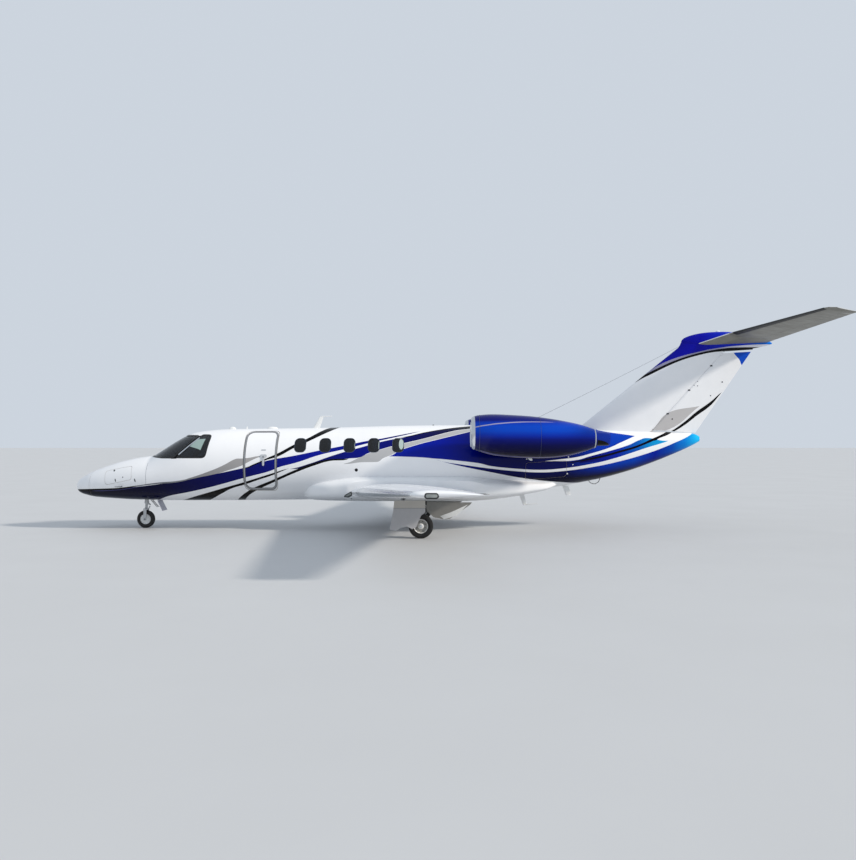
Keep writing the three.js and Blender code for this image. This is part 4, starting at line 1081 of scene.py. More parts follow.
@dataclass
class Fuselage:
    """The shell from the radome to the tail cone, with its openings and glass."""
    radome_end: float = -7.72
    door_gap: float = .005
    door: CabinDoor = CabinDoor()

    def window(self, x: float, spare: float = 0) -> list:
        """One cabin window's outline about its middle."""
        return rounded(x - .137 - spare, 1.748 - spare, x + .11 + spare, 2.052 + spare,
                       [.095 + spare, .095 + spare, .09 + spare, .09 + spare])

    def windows(self, side: Side) -> tuple[float, ...]:
        """Where the windows of one side are; there is an exit window where the door is on the other."""
        return CABIN_WINDOWS + ((EXIT_WINDOW,) if side is Side.STARBOARD else ())

    def skin(self) -> None:
        """Cuts the shell from the hull."""
        bay = carved(HULL.solid("bay", -7.65, -6.66, .04, .1, 64),
                     (KEEP, block("forward", (-7.7, -.9, .985), (-6.6, .9, 1.7))))
        cutters = [HULL.solid("room", -6.23, 1.18, self.door.wall, .12, 72), self.door.cutter(.008), bay,
                   HULL.solid("tail_room", 1.3, 4.7, .038, .15, 48),
                   block("nose_well", (-6.64, -.12, .5), (-6.3, .12, .94))]
        for side in Side:
            cutters += [NOSE_DOOR.cutter(self.door_gap, side), HULL.through(filleted(WINDSHIELD, .04), side, .038),
                        HULL.through(filleted(SIDE_WINDOW, .04), side, .1)]
            cutters += [HULL.through(self.window(x), side, .3) for x in self.windows(side)]
        shell = carved(HULL.solid("fuselage_skin", self.radome_end + .002, 6.18),
                       *((CUT, cutter) for cutter in [*cutters, AFT_DOOR.cutter(self.door_gap)]))
        placed(HULL.skinned(shell), "airframe", "skin", "nose_section", "cockpit_section", "cabin_section",
               "aft_fuselage")
        nose = HULL.solid("radome_shell", -8.13, self.radome_end - .002, 0, .02)
        placed(HULL.skinned(nose), "airframe", "skin", "radome")

    def panels(self) -> None:
        """Makes the nose and aft baggage doors from the same surface."""
        nose, aft = ((-7.5, -6.6), (-7.6, -6.5)), ((2.0, 3.1), (1.9, 3.2))
        for name, node, (ends, hollow), door, side in (
                ("nose_door_left", "nose_baggage_door_left", nose, NOSE_DOOR, Side.PORT),
                ("nose_door_right", "nose_baggage_door_right", nose, NOSE_DOOR, Side.STARBOARD),
                ("aft_door_leaf", "aft_baggage_door", aft, AFT_DOOR, Side.PORT)):
            leaf = carved(HULL.solid(name, *ends, 0, .04), (CUT, HULL.solid("hollow", *hollow, .03, .1, 64)),
                          (KEEP, door.cutter(0, side)))
            placed(HULL.skinned(leaf), node, "skin", node)

    def glazing(self) -> None:
        """Fits the windshield halves, the side windows and the cabin windows."""
        for side in Side:
            for name, outline, near in (("windshield", WINDSHIELD, .0395), ("side_window", SIDE_WINDOW, .101)):
                outline = grown(filleted(outline, .04), -.002)
                pane = HULL.patch(f"{name}_pane_{side.word}", outline, side, (.004, .012), near)
                placed(dressed(pane, GLASS), "airframe", "glazing", f"{name}_{side.word}")
            panes = joined(f"cabin_panes_{side.word}", [
                HULL.patch("pane", grown(self.window(x), -.002), side, (.006, .014), .3) for x in self.windows(side)])
            placed(dressed(panes, GLASS), "airframe", "glazing", f"cabin_windows_{side.word}")

    def plates(self) -> list[Plate]:
        """The frames, seals, ports and marks on the hull."""
        shield, window = filleted(WINDSHIELD, .04), filleted(SIDE_WINDOW, .04)
        visor = [(-5.225, 2.03), (-5.035, 2.045), (-5.1, 1.79), (-5.157, 1.818), (-5.357, 1.875)]
        return [
            Plate("windshield_seal", SEAL, [grown(shield, .01)], (-.001, .014), .037, [grown(shield, -.022)]),
            Plate("side_window_seal", SEAL, [grown(window, .006)], (-.001, .014), .1, [grown(window, -.024)]),
            Plate("pillar_strip", POLISHED, [band(((-5.59, 1.69), (-5.18, 2.07)), .026)], (-.003, .003)),
            Plate("sun_visor", VISOR, [visor], (.0005, .0038)),
            Plate("window_frames", FRAME, [self.window(x, .008) for x in CABIN_WINDOWS], (-.001, .005), .3,
                  [self.window(x, -.003) for x in CABIN_WINDOWS]),
            Plate("exit_window_frame", FRAME, [self.window(EXIT_WINDOW, .013)], (-.001, .005), .3,
                  [self.window(EXIT_WINDOW, -.003)], (Side.STARBOARD,)),
            Plate("window_blinds", BLIND, [oval(-.652, 1.925, .052, .118), oval(-1.142, 1.9, .014, .09),
                                           oval(-1.68, 1.9, .008, .07)], (.001, .005), .3),
            Plate("nose_latches", BRACKET, [oval(-7.05, 1.118, .012, .036, -12), oval(-7.114, 1.33, .02),
                                            oval(-6.87, 1.186, .013)], rides="nose_baggage_door"),
            Plate("nose_slots", BRACKET, [oval(-6.577, 1.119, .013, .042, -14)]),
            Plate("side_ports", BRACKET, [oval(-1.639, 1.355, .036), oval(-1.639, 1.355, .02)], near=.5),
            Plate("static_ports", FITTING, [oval(3.063, 1.262, .016), oval(3.07, 1.64, .014),
                                            oval(2.123, 1.594, .014), oval(3.176, 1.468, .012)], near=.3),
            Plate("frame_seam", FRAME, [band(((-6.324, 1.51), (-6.324, 1.025)), .005)], (-.0006, .002))]

    def rivets(self) -> None:
        """Rows of flush rivets along the shell's frames and stringers."""
        spots = list(HULL.rings((-7.66, -6.625, -4.56, -4.2, -3.25, -2.6, -2.05, -1.52, -.98, -.42, .2, .8, 1.35, 1.8,
                                 3.25, 3.8, 4.3, 4.8, 5.3), 0, 150).reshape(-1, 3))
        spots += [HULL.point(x, z, side) for z in (1.62, 2.19) for side in Side for x in np.arange(-3.2, 1.3, .04)]
        placed(studded("shell_rivets", list(zip(spots, HULL.normals(np.array(spots)))), LIVERY))

    def build(self) -> None:
        """Makes every piece of the fuselage."""
        self.skin()
        self.panels()
        self.door.build()
        self.glazing()
        for plate in self.plates():
            plate.build()
        self.rivets()


# ---- wings and tail ----

CHORD_STEPS = np.unique(np.concatenate([(1 - np.cos(np.linspace(0, math.pi, 25))) / 2, [.065, .72]]))


def half_thick(t: Array, ratio: float) -> Array:
    """Half the thickness of a wing section over its chord."""
    return 5 * ratio * (.2969 * np.sqrt(t) - .126 * t - .3516 * t ** 2 + .2843 * t ** 3 - .1015 * t ** 4)


def foil(front: float, back: float, thick: float, y: float, z: float, edge: float = .0015, bend: float = 0,
         rise: float = 0, upright: bool = False) -> Array:
    """A ring round a wing section, from the top aft round the nose.

    Args:
        front: x of its leading edge.
        back: x of its trailing edge.
        thick: its thickness.
        y: its place across.
        z: its height.
        edge: least half thickness.
        bend: its camber over the chord.
        rise: how far its trailing edge lies above its leading edge.
        upright: thick across, as a fin is.
    Returns:
        The ring's corners.
    """
    long, t = back - front, CHORD_STEPS[1:]
    tall = np.maximum(half_thick(t, thick / long), edge / long)
    mean = 4 * bend * t * (1 - t)
    part = np.hstack([t[::-1], [0], t])
    off = np.hstack([(mean + tall)[::-1], [0], mean - tall]) * long
    aside, above = (off, 0 * off) if upright else (0 * off, rise * part + off)
    return np.stack([front + part * long, y + aside, z + above], axis=1)


def blade(name: str, foot: Place, tip: Place, thick: float, y: float = 0) -> Piece:
    """A thin swept aerial: front x, back x and height of its foot and of its tip."""
    rings = []
    for t in (0, .3, .6, .93, 1):
        front, back, z = (a + (b - a) * t for a, b in zip(foot, tip))
        rings.append(foil(front, back, thick * (.5 if t == 1 else 1), y, z, .001 * (back - front), upright=True))
    return loft(name, rings)


def split(whole: Piece, plan: Callable[[float], Piece], hinge: Sequence[tuple],
          gaps: tuple[float, float], name: str) -> tuple[Piece, Piece]:
    """Cuts a control surface out of a wing, its nose round about the hinge line.

    Args:
        whole: the wing or tail.
        plan: gives the surface's outline as a prism, grown by a spare width.
        hinge: the point and radius at each end of the hinge line.
        gaps: the gap round the nose and at the ends.
        name: the surface's name.
    Returns:
        The surface, and the cove to cut from the wing.
    """
    points, radii = [np.array(h[0]) for h in hinge], [h[1] for h in hinge]
    along = direction(*(points[1] - points[0])) * gaps[1]
    surface = carved(linked(name, whole.data.copy()), (KEEP, plan(0)),
                     (JOIN, tube("nose", points, [r - .0005 for r in radii], 48)))
    cove = carved(plan(gaps[1]), (JOIN, tube("nose", [points[0] - along, points[1] + along],
                                             [r + gaps[0] for r in radii], 48)))
    return surface, cove


def split_level(whole: Piece, span: Place, ends: Sequence[tuple], reach: Place, name: str) -> tuple[Piece, Piece]:
    """Splits off what lies aft of a port hinge line: over a stretch of span, and as far as an x and two heights."""
    def plan(spare: float) -> Piece:
        """The surface's outline from above, grown at its two ends."""
        y0, y1 = -span[0] + spare, -span[1] - spare
        corners = [(ends[0][0][0], y0), (reach[0], y0), (reach[0], y1), (ends[1][0][0], y1)]
        return prism("plan", corners, *reach[1:], PLAN_VIEW)
    return split(whole, plan, ends, (.008, .008), name)


@dataclass
class Wing:
    """A wing with flap and aileron: distance out, leading edge x, chord, height, thickness ratio."""
    stations: Table = (
        (1.0003, -1.724, 2.69, .876, .122), (1.12, -1.672, 2.592, .882, .116), (1.4, -1.61, 2.526, .898, .113),
        (4.0, -1.062, 1.877, 1.044, .112), (7.56, -.312, 1.03, 1.245, .11), (7.68, -.262, .962, 1.25, .1),
        (7.728, -.205, .86, 1.252, .075), (7.745, -.13, .72, 1.253, .04))
    bend: float = .012
    flap: tuple[float, float, float] = (1.06, 4.7, .72)
    aileron: tuple[float, float, float] = (4.76, 7.25, .75)
    polished: float = .065
    polished_span: tuple[float, float] = (1.45, 7.6)

    def ring(self, y: float) -> Array:
        """The section at a distance out, on the port side."""
        _, x, chord, z, ratio = between(self.stations, y)
        return foil(x, x + chord, ratio * chord, -y, z, bend=self.bend)

    def hinge(self, y: float, part: float) -> tuple[Array, float]:
        """The hinge point and nose radius at a distance out."""
        _, x, chord, z, ratio = between(self.stations, y)
        mean = 4 * self.bend * part * (1 - part)
        return np.array([x + part * chord, -y, z + mean * chord]), float(half_thick(part, ratio)) * chord

    def panel(self, wing: Piece, span: tuple[float, float, float], name: str) -> tuple[Piece, Piece]:
        """The moving surface over a stretch of span, and its cove."""
        return split_level(wing, span, [self.hinge(y, span[2]) for y in span[:2]], (1.4, .4, 1.7), name)

    def slots(self, piece: Piece) -> Array:
        """1 for faces on the polished leading edge, 0 for the rest."""
        middle, rows = centres(piece)[0], np.array(self.stations)
        y = np.abs(middle[:, 1])
        front, chord = (np.interp(y, rows[:, 0], rows[:, column]) for column in (1, 2))
        inner, outer = self.polished_span
        return ((middle[:, 0] - front) / chord < self.polished) & (y > inner) & (y < outer)

    def surface(self, y: float, part: float, upper: int) -> tuple[Array, Array]:
        """A point on the port wing's skin and the way out of it; upper is 1 above and -1 below."""
        _, x, chord, z, ratio = between(self.stations, y)
        at = [z + (4 * self.bend * t * (1 - t) + upper * half_thick(t, ratio)) * chord for t in (part, part + .01)]
        slope = (at[1] - at[0]) / (.01 * chord)
        return np.array([x + part * chord, -y, at[0]]), direction(-slope * upper, 0, upper)

    def fittings(self) -> None:
        """Makes the tip lamps, the static wicks and the rivets along the spars."""
        for word, finish, long, tall, out in (("bezel", BRACKET, .1, .041, 7.746), ("lens", SMOKED, .08, .024, 7.75)):
            lamp = rounded(-.012 - long, 1.241 - tall, -.012 + long, 1.241 + tall, tall - .001)
            both(dressed(bevelled(prism(f"tip_{word}_left", lamp, -out, -7.66), .006, 3), finish))
        wicks = []
        for y in (5.6, 6.3, 7.0):
            _, x, chord, z, _ = between(self.stations, y)
            wicks.append(tube("wick", [(x + chord - .02, -y, z), (x + chord + .09, -y, z + .004)], [.003, .0015], 8))
        both(dressed(joined("static_wicks_left", wicks), BRACKET), "aileron")
        marks = [self.surface(y, t, up) for t in (.13, .36, .6) for up in (1, -1) for y in np.arange(1.5, 7.6, .045)]
        marks += [self.surface(y, t, up) for y in (2.5, 3.6, 4.73, 5.9, 7.2) for up in (1, -1)
                  for t in np.arange(.14, .6, .02)]
        both(studded("wing_rivets_left", marks, ENAMEL))

    def build(self) -> None:
        """Makes both wings with their flaps and ailerons."""
        wing = loft("wing_panel_left", [self.ring(y) for y in stops(self.stations, 40, 1.4, 7.56)])
        flap, cove = self.panel(wing, self.flap, "flap_panel_left")
        aileron, notch = self.panel(wing, self.aileron, "aileron_panel_left")
        recess = block("recess", (-.68, -2.26, .5), (-.44, -1.24, .85))
        carved(wing, (CUT, cove), (CUT, notch), (CUT, recess))
        both(dressed(wing, ENAMEL, POLISHED, slots=self.slots(wing)), "airframe", "skin", "wing")
        both(dressed(flap, ENAMEL), "flap", "skin", "flap")
        both(dressed(aileron, ENAMEL), "aileron", "skin", "aileron")
        self.fittings()


@dataclass
class Tail:
    """Fin, rudder, bullet, stabilizer and elevators."""
    fin: Table = ((1.96, 2.982, 5.942, .262), (2.392, 3.521, 6.239, .252), (3.1, 4.403, 6.725, .216),
                  (4.16, 5.724, 7.453, .165), (4.27, 5.768, 7.5, .16))
    rudder: tuple = ((5.094, 2.222), (6.76, 4.044))
    stab: Table = ((0, 6.08, 4.222, 7.74, 4.262, .05), (.095, 6.15, 4.232, 7.752, 4.266, .052),
                   (.3, 6.76, 4.43, 7.806, 4.292, .098), (3.08, 7.535, 4.545, 8.106, 4.44, .096),
                   (3.165, 7.6, 4.548, 8.128, 4.444, .08), (3.2, 7.72, 4.54, 8.13, 4.452, .04))
    elevator: tuple[float, float, float] = (.34, 3.02, .68)
    boot: tuple[float, float, float] = (.42, 3.06, .1)
    bullet: Table = ((5.774, 4.3, 4.28, .012), (5.81, 4.345, 4.236, .042), (5.9, 4.395, 4.18, .066),
                     (6.175, 4.472, 4.112, .096), (6.606, 4.511, 4.088, .118), (6.915, 4.506, 4.086, .124),
                     (7.3, 4.46, 4.108, .112), (7.6, 4.376, 4.16, .078), (7.8, 4.29, 4.21, .038),
                     (7.858, 4.256, 4.232, .014))

    def fin_half(self, x: float, z: float) -> float:
        """Half the fin's thickness at a place on it."""
        _, front, back, thick = between(self.fin, z)
        return float(half_thick((x - front) / (back - front), thick / (back - front))) * (back - front)

    def fin_hinge(self, z: float) -> tuple[Array, float]:
        """The rudder's hinge point and nose radius at a height."""
        (x0, z0), (x1, z1) = self.rudder
        x = x0 + (x1 - x0) * (z - z0) / (z1 - z0)
        return np.array([x, 0, z]), self.fin_half(x, z)

    def capsule(self, inset: float = 0) -> Piece:
        """The bullet at the top of the fin."""
        places, turn = stops(self.bullet, 70), circle(48)
        return loft("bullet_fairing", [
            np.stack([np.full(48, x), (h - inset) * np.cos(turn),
                      (t + b) / 2 + ((t - b) / 2 - inset) * np.sin(turn)], axis=1)
            for x, (t, b, h) in zip(places, read(self.bullet, places))])

    def upright(self) -> None:
        """Makes the fin and the rudder."""
        fin = loft("fin_skin", [foil(*between(self.fin, z)[1:], 0, z, upright=True)
                                for z in np.linspace(self.fin[0][0], self.fin[-1][0], 36)])

        def plan(spare: float) -> Piece:
            """What lies aft of the hinge line between two slanted cuts: the rudder's outline, or its wider cove."""
            low, high = ((2.1, 2.0), (4.06, 4.128)) if spare else ((2.25, 2.085), (4.036, 4.088))
            return prism("region", [(self.fin_hinge(low[0])[0][0], low[0]), (7.6, low[1]), (7.8, high[1]),
                                    (self.fin_hinge(high[0])[0][0], high[0])], -.4, .4)
        rudder, cove = split(fin, plan, [self.fin_hinge(z) for z in (2.25, 4.03)], (.01, .024), "rudder_skin")
        keep = [(4.0, 2.243), (5.1, 2.243), (7.6, 2.098), (7.9, 4.084), (6.8, 4.018), (5.0, 4.018)]
        carved(rudder, (KEEP, prism("keep", keep, -.4, .4)))
        carved(fin, (CUT, cove), (CUT, HULL.solid("hull", 2.5, 6.18, .004, .1, 64)), (CUT, self.capsule(.002)))
        placed(dressed(fin, FIN_PAINT), "airframe", "skin", "fin")
        placed(dressed(rudder, FIN_PAINT), "rudder", "skin", "rudder")

    def level_ring(self, y: float) -> Array:
        """The stabilizer's section at a distance out, on the port side."""
        _, x0, z0, x1, z1, ratio = between(self.stab, y)
        return foil(x0, x1, ratio * (x1 - x0), -y, z0, .00125, rise=z1 - z0)

    def level_hinge(self, y: float) -> tuple[Array, float]:
        """The elevator's hinge point and nose radius at a distance out."""
        _, x0, z0, x1, z1, ratio = between(self.stab, y)
        t = self.elevator[2]
        return np.array([x0 + t * (x1 - x0), -y, z0 + t * (z1 - z0)]), float(half_thick(t, ratio)) * (x1 - x0)

    def level(self) -> None:
        """Makes the stabilizer, its boots and the elevators."""
        half = loft("stabilizer_left", [self.level_ring(y) for y in stops(self.stab, 24, .3, 3.08)])
        ends = [self.level_hinge(y) for y in self.elevator[:2]]
        elevator, cove = split_level(half, self.elevator, ends, (8.3, 4.0, 4.8), "elevator_skin_left")
        carved(half, (CUT, cove))
        (middle, normal), rows = centres(half), np.array(self.stab)
        y = np.abs(middle[:, 1])
        front, back = (np.interp(y, rows[:, 0], rows[:, column]) for column in (1, 3))
        inner, outer, part = self.boot
        boot = ((middle[:, 0] - front) / (back - front) < part) & (y > inner) & (y < outer)
        # Faces turned downwards take the grey-brown painted shade.
        under, under_elevator = (way[:, 2] < -.3 for way in (normal, centres(elevator)[1]))
        both(dressed(half, STAB_PAINT, BOOT, STAB_PAINTED_SHADE, slots=np.select([boot, under], [1, 2], 0)))
        both(dressed(elevator, STAB_PAINT, STAB_PAINTED_SHADE, slots=under_elevator), "elevator", "skin", "elevator")
        placed(dressed(self.capsule(), FIN_PAINT), "airframe", "skin", "stabilizer")

    def fittings(self) -> None:
        """Makes the rudder's hinge brackets, the bolts of its tab, the two lamps and the fin's rivets."""
        brackets, marks, spots = [], [], []
        for z in (2.62, 3.16, 3.72):
            (x, _, _), half = self.fin_hinge(z)
            brackets.append(bevelled(block("bracket", (x - .05, -half - .006, z - .012),
                                           (x + .006, half + .006, z + .018)), .003))
        for x, z, wide in ((6.71, 3.354, .017), (6.44, 3.04, .014), (5.545, 2.5, .016), (6.048, 3.271, .009),
                           (6.127, 3.261, .011), (6.13, 3.363, .009)):
            marks += [pod("mark", (x, side * self.fin_half(x, z), z), (wide, .006, wide)) for side in (-1, 1)]
        placed(dressed(joined("rudder_tab_bolts", marks), BRACKET), "rudder")
        placed(dressed(joined("rudder_brackets", brackets), BRACKET))
        placed(dressed(pod("fin_beacon", (6.62, 0, 4.515), (.05, .03, .028)), LENS))
        placed(dressed(pod("tail_lamp", (6.17, 0, 2.05), (.035, .03, .03)), LENS))
        for t in (.12, .34, .6):
            for z in np.arange(2.35, 4.05, .045):
                _, front, back, _ = between(self.fin, z)
                x = front + t * (back - front)
                spots += [((x, side * self.fin_half(x, z), z), (0, side, 0)) for side in (-1, 1)]
        placed(studded("fin_rivets", spots, FIN_PAINT))

    def build(self) -> None:
        """Makes every piece of the tail."""
        self.upright()
        self.level()
        self.fittings()


# The fin's own bands, in the same enamel: a blue cap over silver and black lines, a black stroke below.
FIN_CAP = mm(4600, 3350, 5177, 3702, 5473, 3844, 5802, 3954, 6133, 4037, 6462, 4108, 6793, 4157, 7122, 4185,
             7453, 4207, 7900, 4220)
FIN_GREY = mm(4600, 3350, 5034, 3580, 5253, 3686, 5473, 3789, 5802, 3913, 6133, 4010, 6462, 4081, 6793, 4129,
              7122, 4145, 7453, 4152, 7900, 4185)
FIN_PAINT = StripedEnamel("fin_enamel", WHITE, "#eceef1", (.12, .2), .3, gloss=.15, stripes=(
    # pale grey patch low on the rudder: painted shade
    Stripe("#bfbdbd", mm(5000, 2200, 5075, 2250, 5465, 2652, 6199, 2805),
           mm(5000, 2200, 5075, 2200, 5343, 2221, 6199, 2805)),
    Stripe("#0a4cc4", mm(6880, 4030, 6925, 4050, 7375, 4090, 7430, 4050),
           mm(6880, 4030, 6925, 4035, 7013, 3965, 7111, 3860, 7189, 3740, 7420, 3740, 7430, 4050)),
    Stripe(((4.6, "#02048c"), (6.2, "#02029c"), (7.2, "#0430c0"), (7.9, "#0878d8")), mm(4600, 4600, 8200, 4600),
           FIN_CAP),
    Stripe(((4.6, "#8c8ca4"), (6.6, "#9a97b4"), (7.2, "#e4e4ee")), tuple((x, z + .003) for x, z in FIN_CAP), FIN_GREY),
    Stripe(BLACK, tuple((x, z + .003) for x, z in FIN_GREY),
           mm(4600, 3300, 4700, 3338, 4800, 3395, 4900, 3450, 5034, 3513, 5253, 3624, 5473, 3729, 5802, 3862,
              6133, 3959, 6462, 4030, 6683, 4053, 7014, 4074, 7453, 4097, 7717, 4129, 7900, 4185)),
    Stripe(BLACK, mm(5050, 2040, 5098, 2050, 5470, 2200, 5820, 2430, 6111, 2670, 6451, 2910, 6634, 3070, 6726, 3142,
                     6760, 3170),
           mm(5050, 2020, 5098, 2025, 5470, 2155, 5820, 2350, 6111, 2570, 6451, 2820, 6634, 3030, 6726, 3142,
              6760, 3170)),
))
# White enamel on the stabilizer's upper faces, and the same enamel darkened grey-brown on its lower faces as painted
# shade.
STAB_PAINT = Finish("stabilizer_enamel", "#eceeef", "#e0e2e3", (.2, .35), .3)
STAB_PAINTED_SHADE = Finish("sooted_enamel", "#8a8880", "#75736c", (.35, .5), .25, stretch=(1, 3, 1))


# ---- engines ----

@dataclass
class Engine:
    """One engine in its nacelle: x, centre height and radius of the outer skin and of the duct."""
    outer: Table = ((.852, 2.16, .302), (.868, 2.16, .332), (.93, 2.162, .362), (1.1, 2.148, .405),
                    (1.3, 2.127, .437), (1.7, 2.096, .454), (2.15, 2.07, .45), (2.48, 2.052, .428),
                    (2.86, 2.04, .376), (3.24, 2.042, .288), (3.523, 2.046, .19))
    duct: Table = ((.88, 2.16, .286), (.98, 2.158, .276), (1.13, 2.146, .288), (1.35, 2.126, .296),
                   (2.0, 2.08, .296), (2.7, 2.05, .268), (3.24, 2.043, .205), (3.523, 2.046, .176))
    y: float = 1.35
    middle: tuple[float, float] = (1.3, 2.13)
    fall: float = .0385
    lip: float = .935
    blades: int = 24
    around: int = 96
    pylon: Table = ((.45, 1.38, 3.38, 2.04, .19), (1.3, 1.48, 3.3, 2.07, .19))

    def axis(self) -> tuple[Place, Place]:
        """A point on the engine's axis, where x is 0, and the axis' line."""
        return (0, -self.y, self.middle[1] + self.middle[0] * self.fall), (1, 0, -self.fall)

    def ring(self, x: float, z: float, r: float) -> Array:
        """A ring of the nacelle on the port side."""
        turn = circle(self.around)
        return np.stack([np.full(len(turn), x), -self.y + r * np.cos(turn), z + r * np.sin(turn)], axis=1)

    def rings(self, rows: Table, step: float, grow: float = 0) -> list:
        """Rings between a table's rows, on a smooth curve."""
        places = stops(rows, int((rows[-1][0] - rows[0][0]) / step) + 1)
        return [self.ring(x, z, r + grow) for x, (z, r) in zip(places, read(rows, places))]

    def nacelle(self) -> Piece:
        """The nacelle's shell with its polished lip."""
        shell = loft("nacelle_shell_left", self.rings(self.outer, .05) + self.rings(self.duct, .06)[::-1],
                     looped=True)
        middle, normal = centres(shell)
        lip = middle[:, 0] < self.lip
        radius = np.hypot(middle[:, 1] + self.y, middle[:, 2] - self.middle[1])
        toward = (middle[:, 1] + self.y) * normal[:, 1] + (middle[:, 2] - 2.1) * normal[:, 2] < 0
        inside = toward & ~lip & (radius < .3)
        return dressed(shell, PEARL, POLISHED, STEEL, slots=np.select([lip, inside], [1, 2], 0))

    def fan(self) -> Piece:
        """The spinner and its twisted blades."""
        hub = turned("spinner", [(1.14, 0), (1.142, .01), (1.15, .034), (1.17, .057), (1.19, .076), (1.22, .092),
                                 (1.255, .104), (1.38, .108), (1.38, 0)], *self.axis(), 48)
        pieces = [hub]
        root, tip, (middle, height) = .09, .278, self.middle
        for i in range(self.blades):
            rings = []
            for r in np.linspace(root, tip, 9):
                part = (r - root) / (tip - root)
                pitch = math.radians(28 + 34 * part)
                half, thick = .045 + .012 * part, .0045 - .003 * part
                steps = circle(12)
                a, b = half * np.cos(steps), thick * np.sin(steps) + .006 * np.cos(steps) ** 2
                along, across = a * math.cos(pitch) - b * math.sin(pitch), a * math.sin(pitch) + b * math.cos(pitch)
                turn = 2 * math.pi * i / self.blades + .25 * (r - root)
                x = 1.29 + along
                rings.append(np.stack([
                    x, -self.y + r * math.cos(turn) - across * math.sin(turn),
                    height - (x - middle) * self.fall + r * math.sin(turn) + across * math.cos(turn)], axis=1))
            pieces.append(loft("blade", rings))
        return dressed(joined("fan_rotor_left", pieces), STEEL)

    def core(self) -> Piece:
        """The engine's block and its nozzle, blue where it is hot and black over the nozzle's lower part as painted
        shade.
        """
        made = turned("engine_block_left", [
            (1.45, 0), (1.45, .12), (1.5, .145), (1.56, .165), (1.65, .185), (1.75, .2), (2.5, .205), (2.9, .19),
            (3.3, .165), (3.5, .158), (3.66, .15), (3.78, .14), (3.81, .134), (3.806, .127), (3.6, .14), (3.6, 0)],
                      *self.axis())
        return dressed(made, STEEL, NOZZLE_BLUE_AND_PAINTED_SHADE, slots=centres(made)[0][:, 0] > 3.3)

    def spar(self) -> Piece:
        """The pylon between fuselage and nacelle."""
        rings = [foil(front, back, thick, -y, z)
                 for y, front, back, z, thick in (between(self.pylon, y) for y in np.linspace(.45, 1.3, 18))]
        filled = loft("filled", self.rings(self.outer, .1, -.003))
        return dressed(carved(loft("pylon_skin_left", rings), (CUT, filled),
                              (CUT, HULL.solid("hull", 1.25, 4.4, .004, .1, 64))), PEARL)

    def hoop(self, name: str, start: float, end: float, proud: float) -> Piece:
        """A ring round the nacelle that stands a little proud of it."""
        corners = ((start, proud), (end, proud), (end, -.004), (start, -.004))
        return loft(name, [self.ring(x, *(read(self.outer, x)[0] + (0, grow))) for x, grow in corners], looped=True)

    def fittings(self) -> None:
        """Makes the nacelle's seams, its nozzle ring and screws, and the drain mast under it."""
        seams = joined("nacelle_seams_left", [self.hoop("seam", x, x + wide, .0006) for x, wide in (
            (1.02, .006), (2.3, .005))])
        both(dressed(seams, FRAME))
        both(dressed(self.hoop("nozzle_ring_left", 3.475, 3.5, .0015), POLISHED))
        heads = []
        for x, count in ((1.0, 60), (1.04, 60), (2.285, 72), (2.32, 72), (3.42, 36)):
            (z, r), ways = read(self.outer, x)[0], spokes((1, 0, 0), ACROSS, count)
            heads += [((x, -self.y, z) + way * r, way) for way in ways]
        both(studded("nacelle_screws_left", heads, PEARL, .0055, .002, 8))
        mast = blade("drain_mast_left", (2.06, 2.16, 1.63), (2.12, 2.17, 1.575), .016, -self.y)
        both(dressed(mast, FITTING))

    def build(self) -> None:
        """Makes both engines."""
        self.fittings()
        both(self.nacelle(), "airframe", "skin", "nacelle")
        both(self.fan(), "fan", "fan", "fan")
        both(self.core(), "airframe", "engine", "engine_core")
        both(self.spar(), "airframe", "skin", "pylon")


# ---- belly fairing ----

@dataclass
class Fairing:
    """The belly fairing over the wing's centre: x, half width, top and bottom."""
    stations: Table = (
        (-2.96, .3, 1.06, .76), (-2.72, .64, 1.09, .676), (-2.42, .83, 1.14, .652), (-1.95, .96, 1.205, .643),
        (-1.6, 1.05, 1.235, .64), (-.8, 1.07, 1.24, .64), (0, 1.07, 1.24, .64), (.9, 1.06, 1.23, .646),
        (1.4, .96, 1.185, .68), (1.853, .85, 1.145, .738), (2.25, .7, 1.11, .808), (2.6, .52, 1.09, .878),
        (2.86, .3, 1.11, .975))
    lamps: tuple = (
        ("frame", ((-1.9, .765), (-1.885, .81), (-1.74, .893), (-1.712, .885), (-1.712, .8), (-1.8, .757)), 1.002),
        ("lens", ((-1.868, .79), (-1.865, .803), (-1.747, .868), (-1.737, .82), (-1.81, .78)), 1.004),
        # The lip is a black piece below the lens: painted shade on the lens's lower part.
        ("lip", ((-1.9, .735), (-1.86, .722), (-1.74, .735), (-1.715, .75), (-1.73, .7), (-1.8, .675), (-1.87, .69)),
         1.002))

    def build(self) -> None:
        """Makes the fairing, cut flat at the wing roots and open round the fuselage."""
        places, turn = stops(self.stations, 90), circle(96)
        bow = [np.sign(v) * np.abs(v) ** .62 for v in (np.cos(turn), np.sin(turn))]
        rings = [np.stack([np.full(96, x), half * bow[0], (top + bottom) / 2 + (top - bottom) / 2 * bow[1]],
                          axis=1) for x, (half, top, bottom) in zip(places, read(self.stations, places))]
        made = carved(loft("belly_skin", rings),
                      (KEEP, block("between", (-3.1, -1.0, .5), (3.0, 1.0, 1.5))),
                      (CUT, HULL.solid("hull", -3.2, 3.2, .004, .1, 96)))
        placed(dressed(made, ENAMEL), "airframe", "skin", "belly_fairing")
        for word, outline, wide in self.lamps:
            lamp = carved(loft(f"belly_lamp_{word}_left", [ring * (1, wide, 1) for ring in rings]),
                          (KEEP, prism("outline", filleted(outline, .015), -1.2, -.9)),
                          (KEEP, block("between", (-3.1, -1.001 * wide, .5), (3.0, 1.001 * wide, 1.5))))
            both(dressed(lamp, SMOKED if word == "lens" else SCREEN))


# ---- aerials and small fittings ----

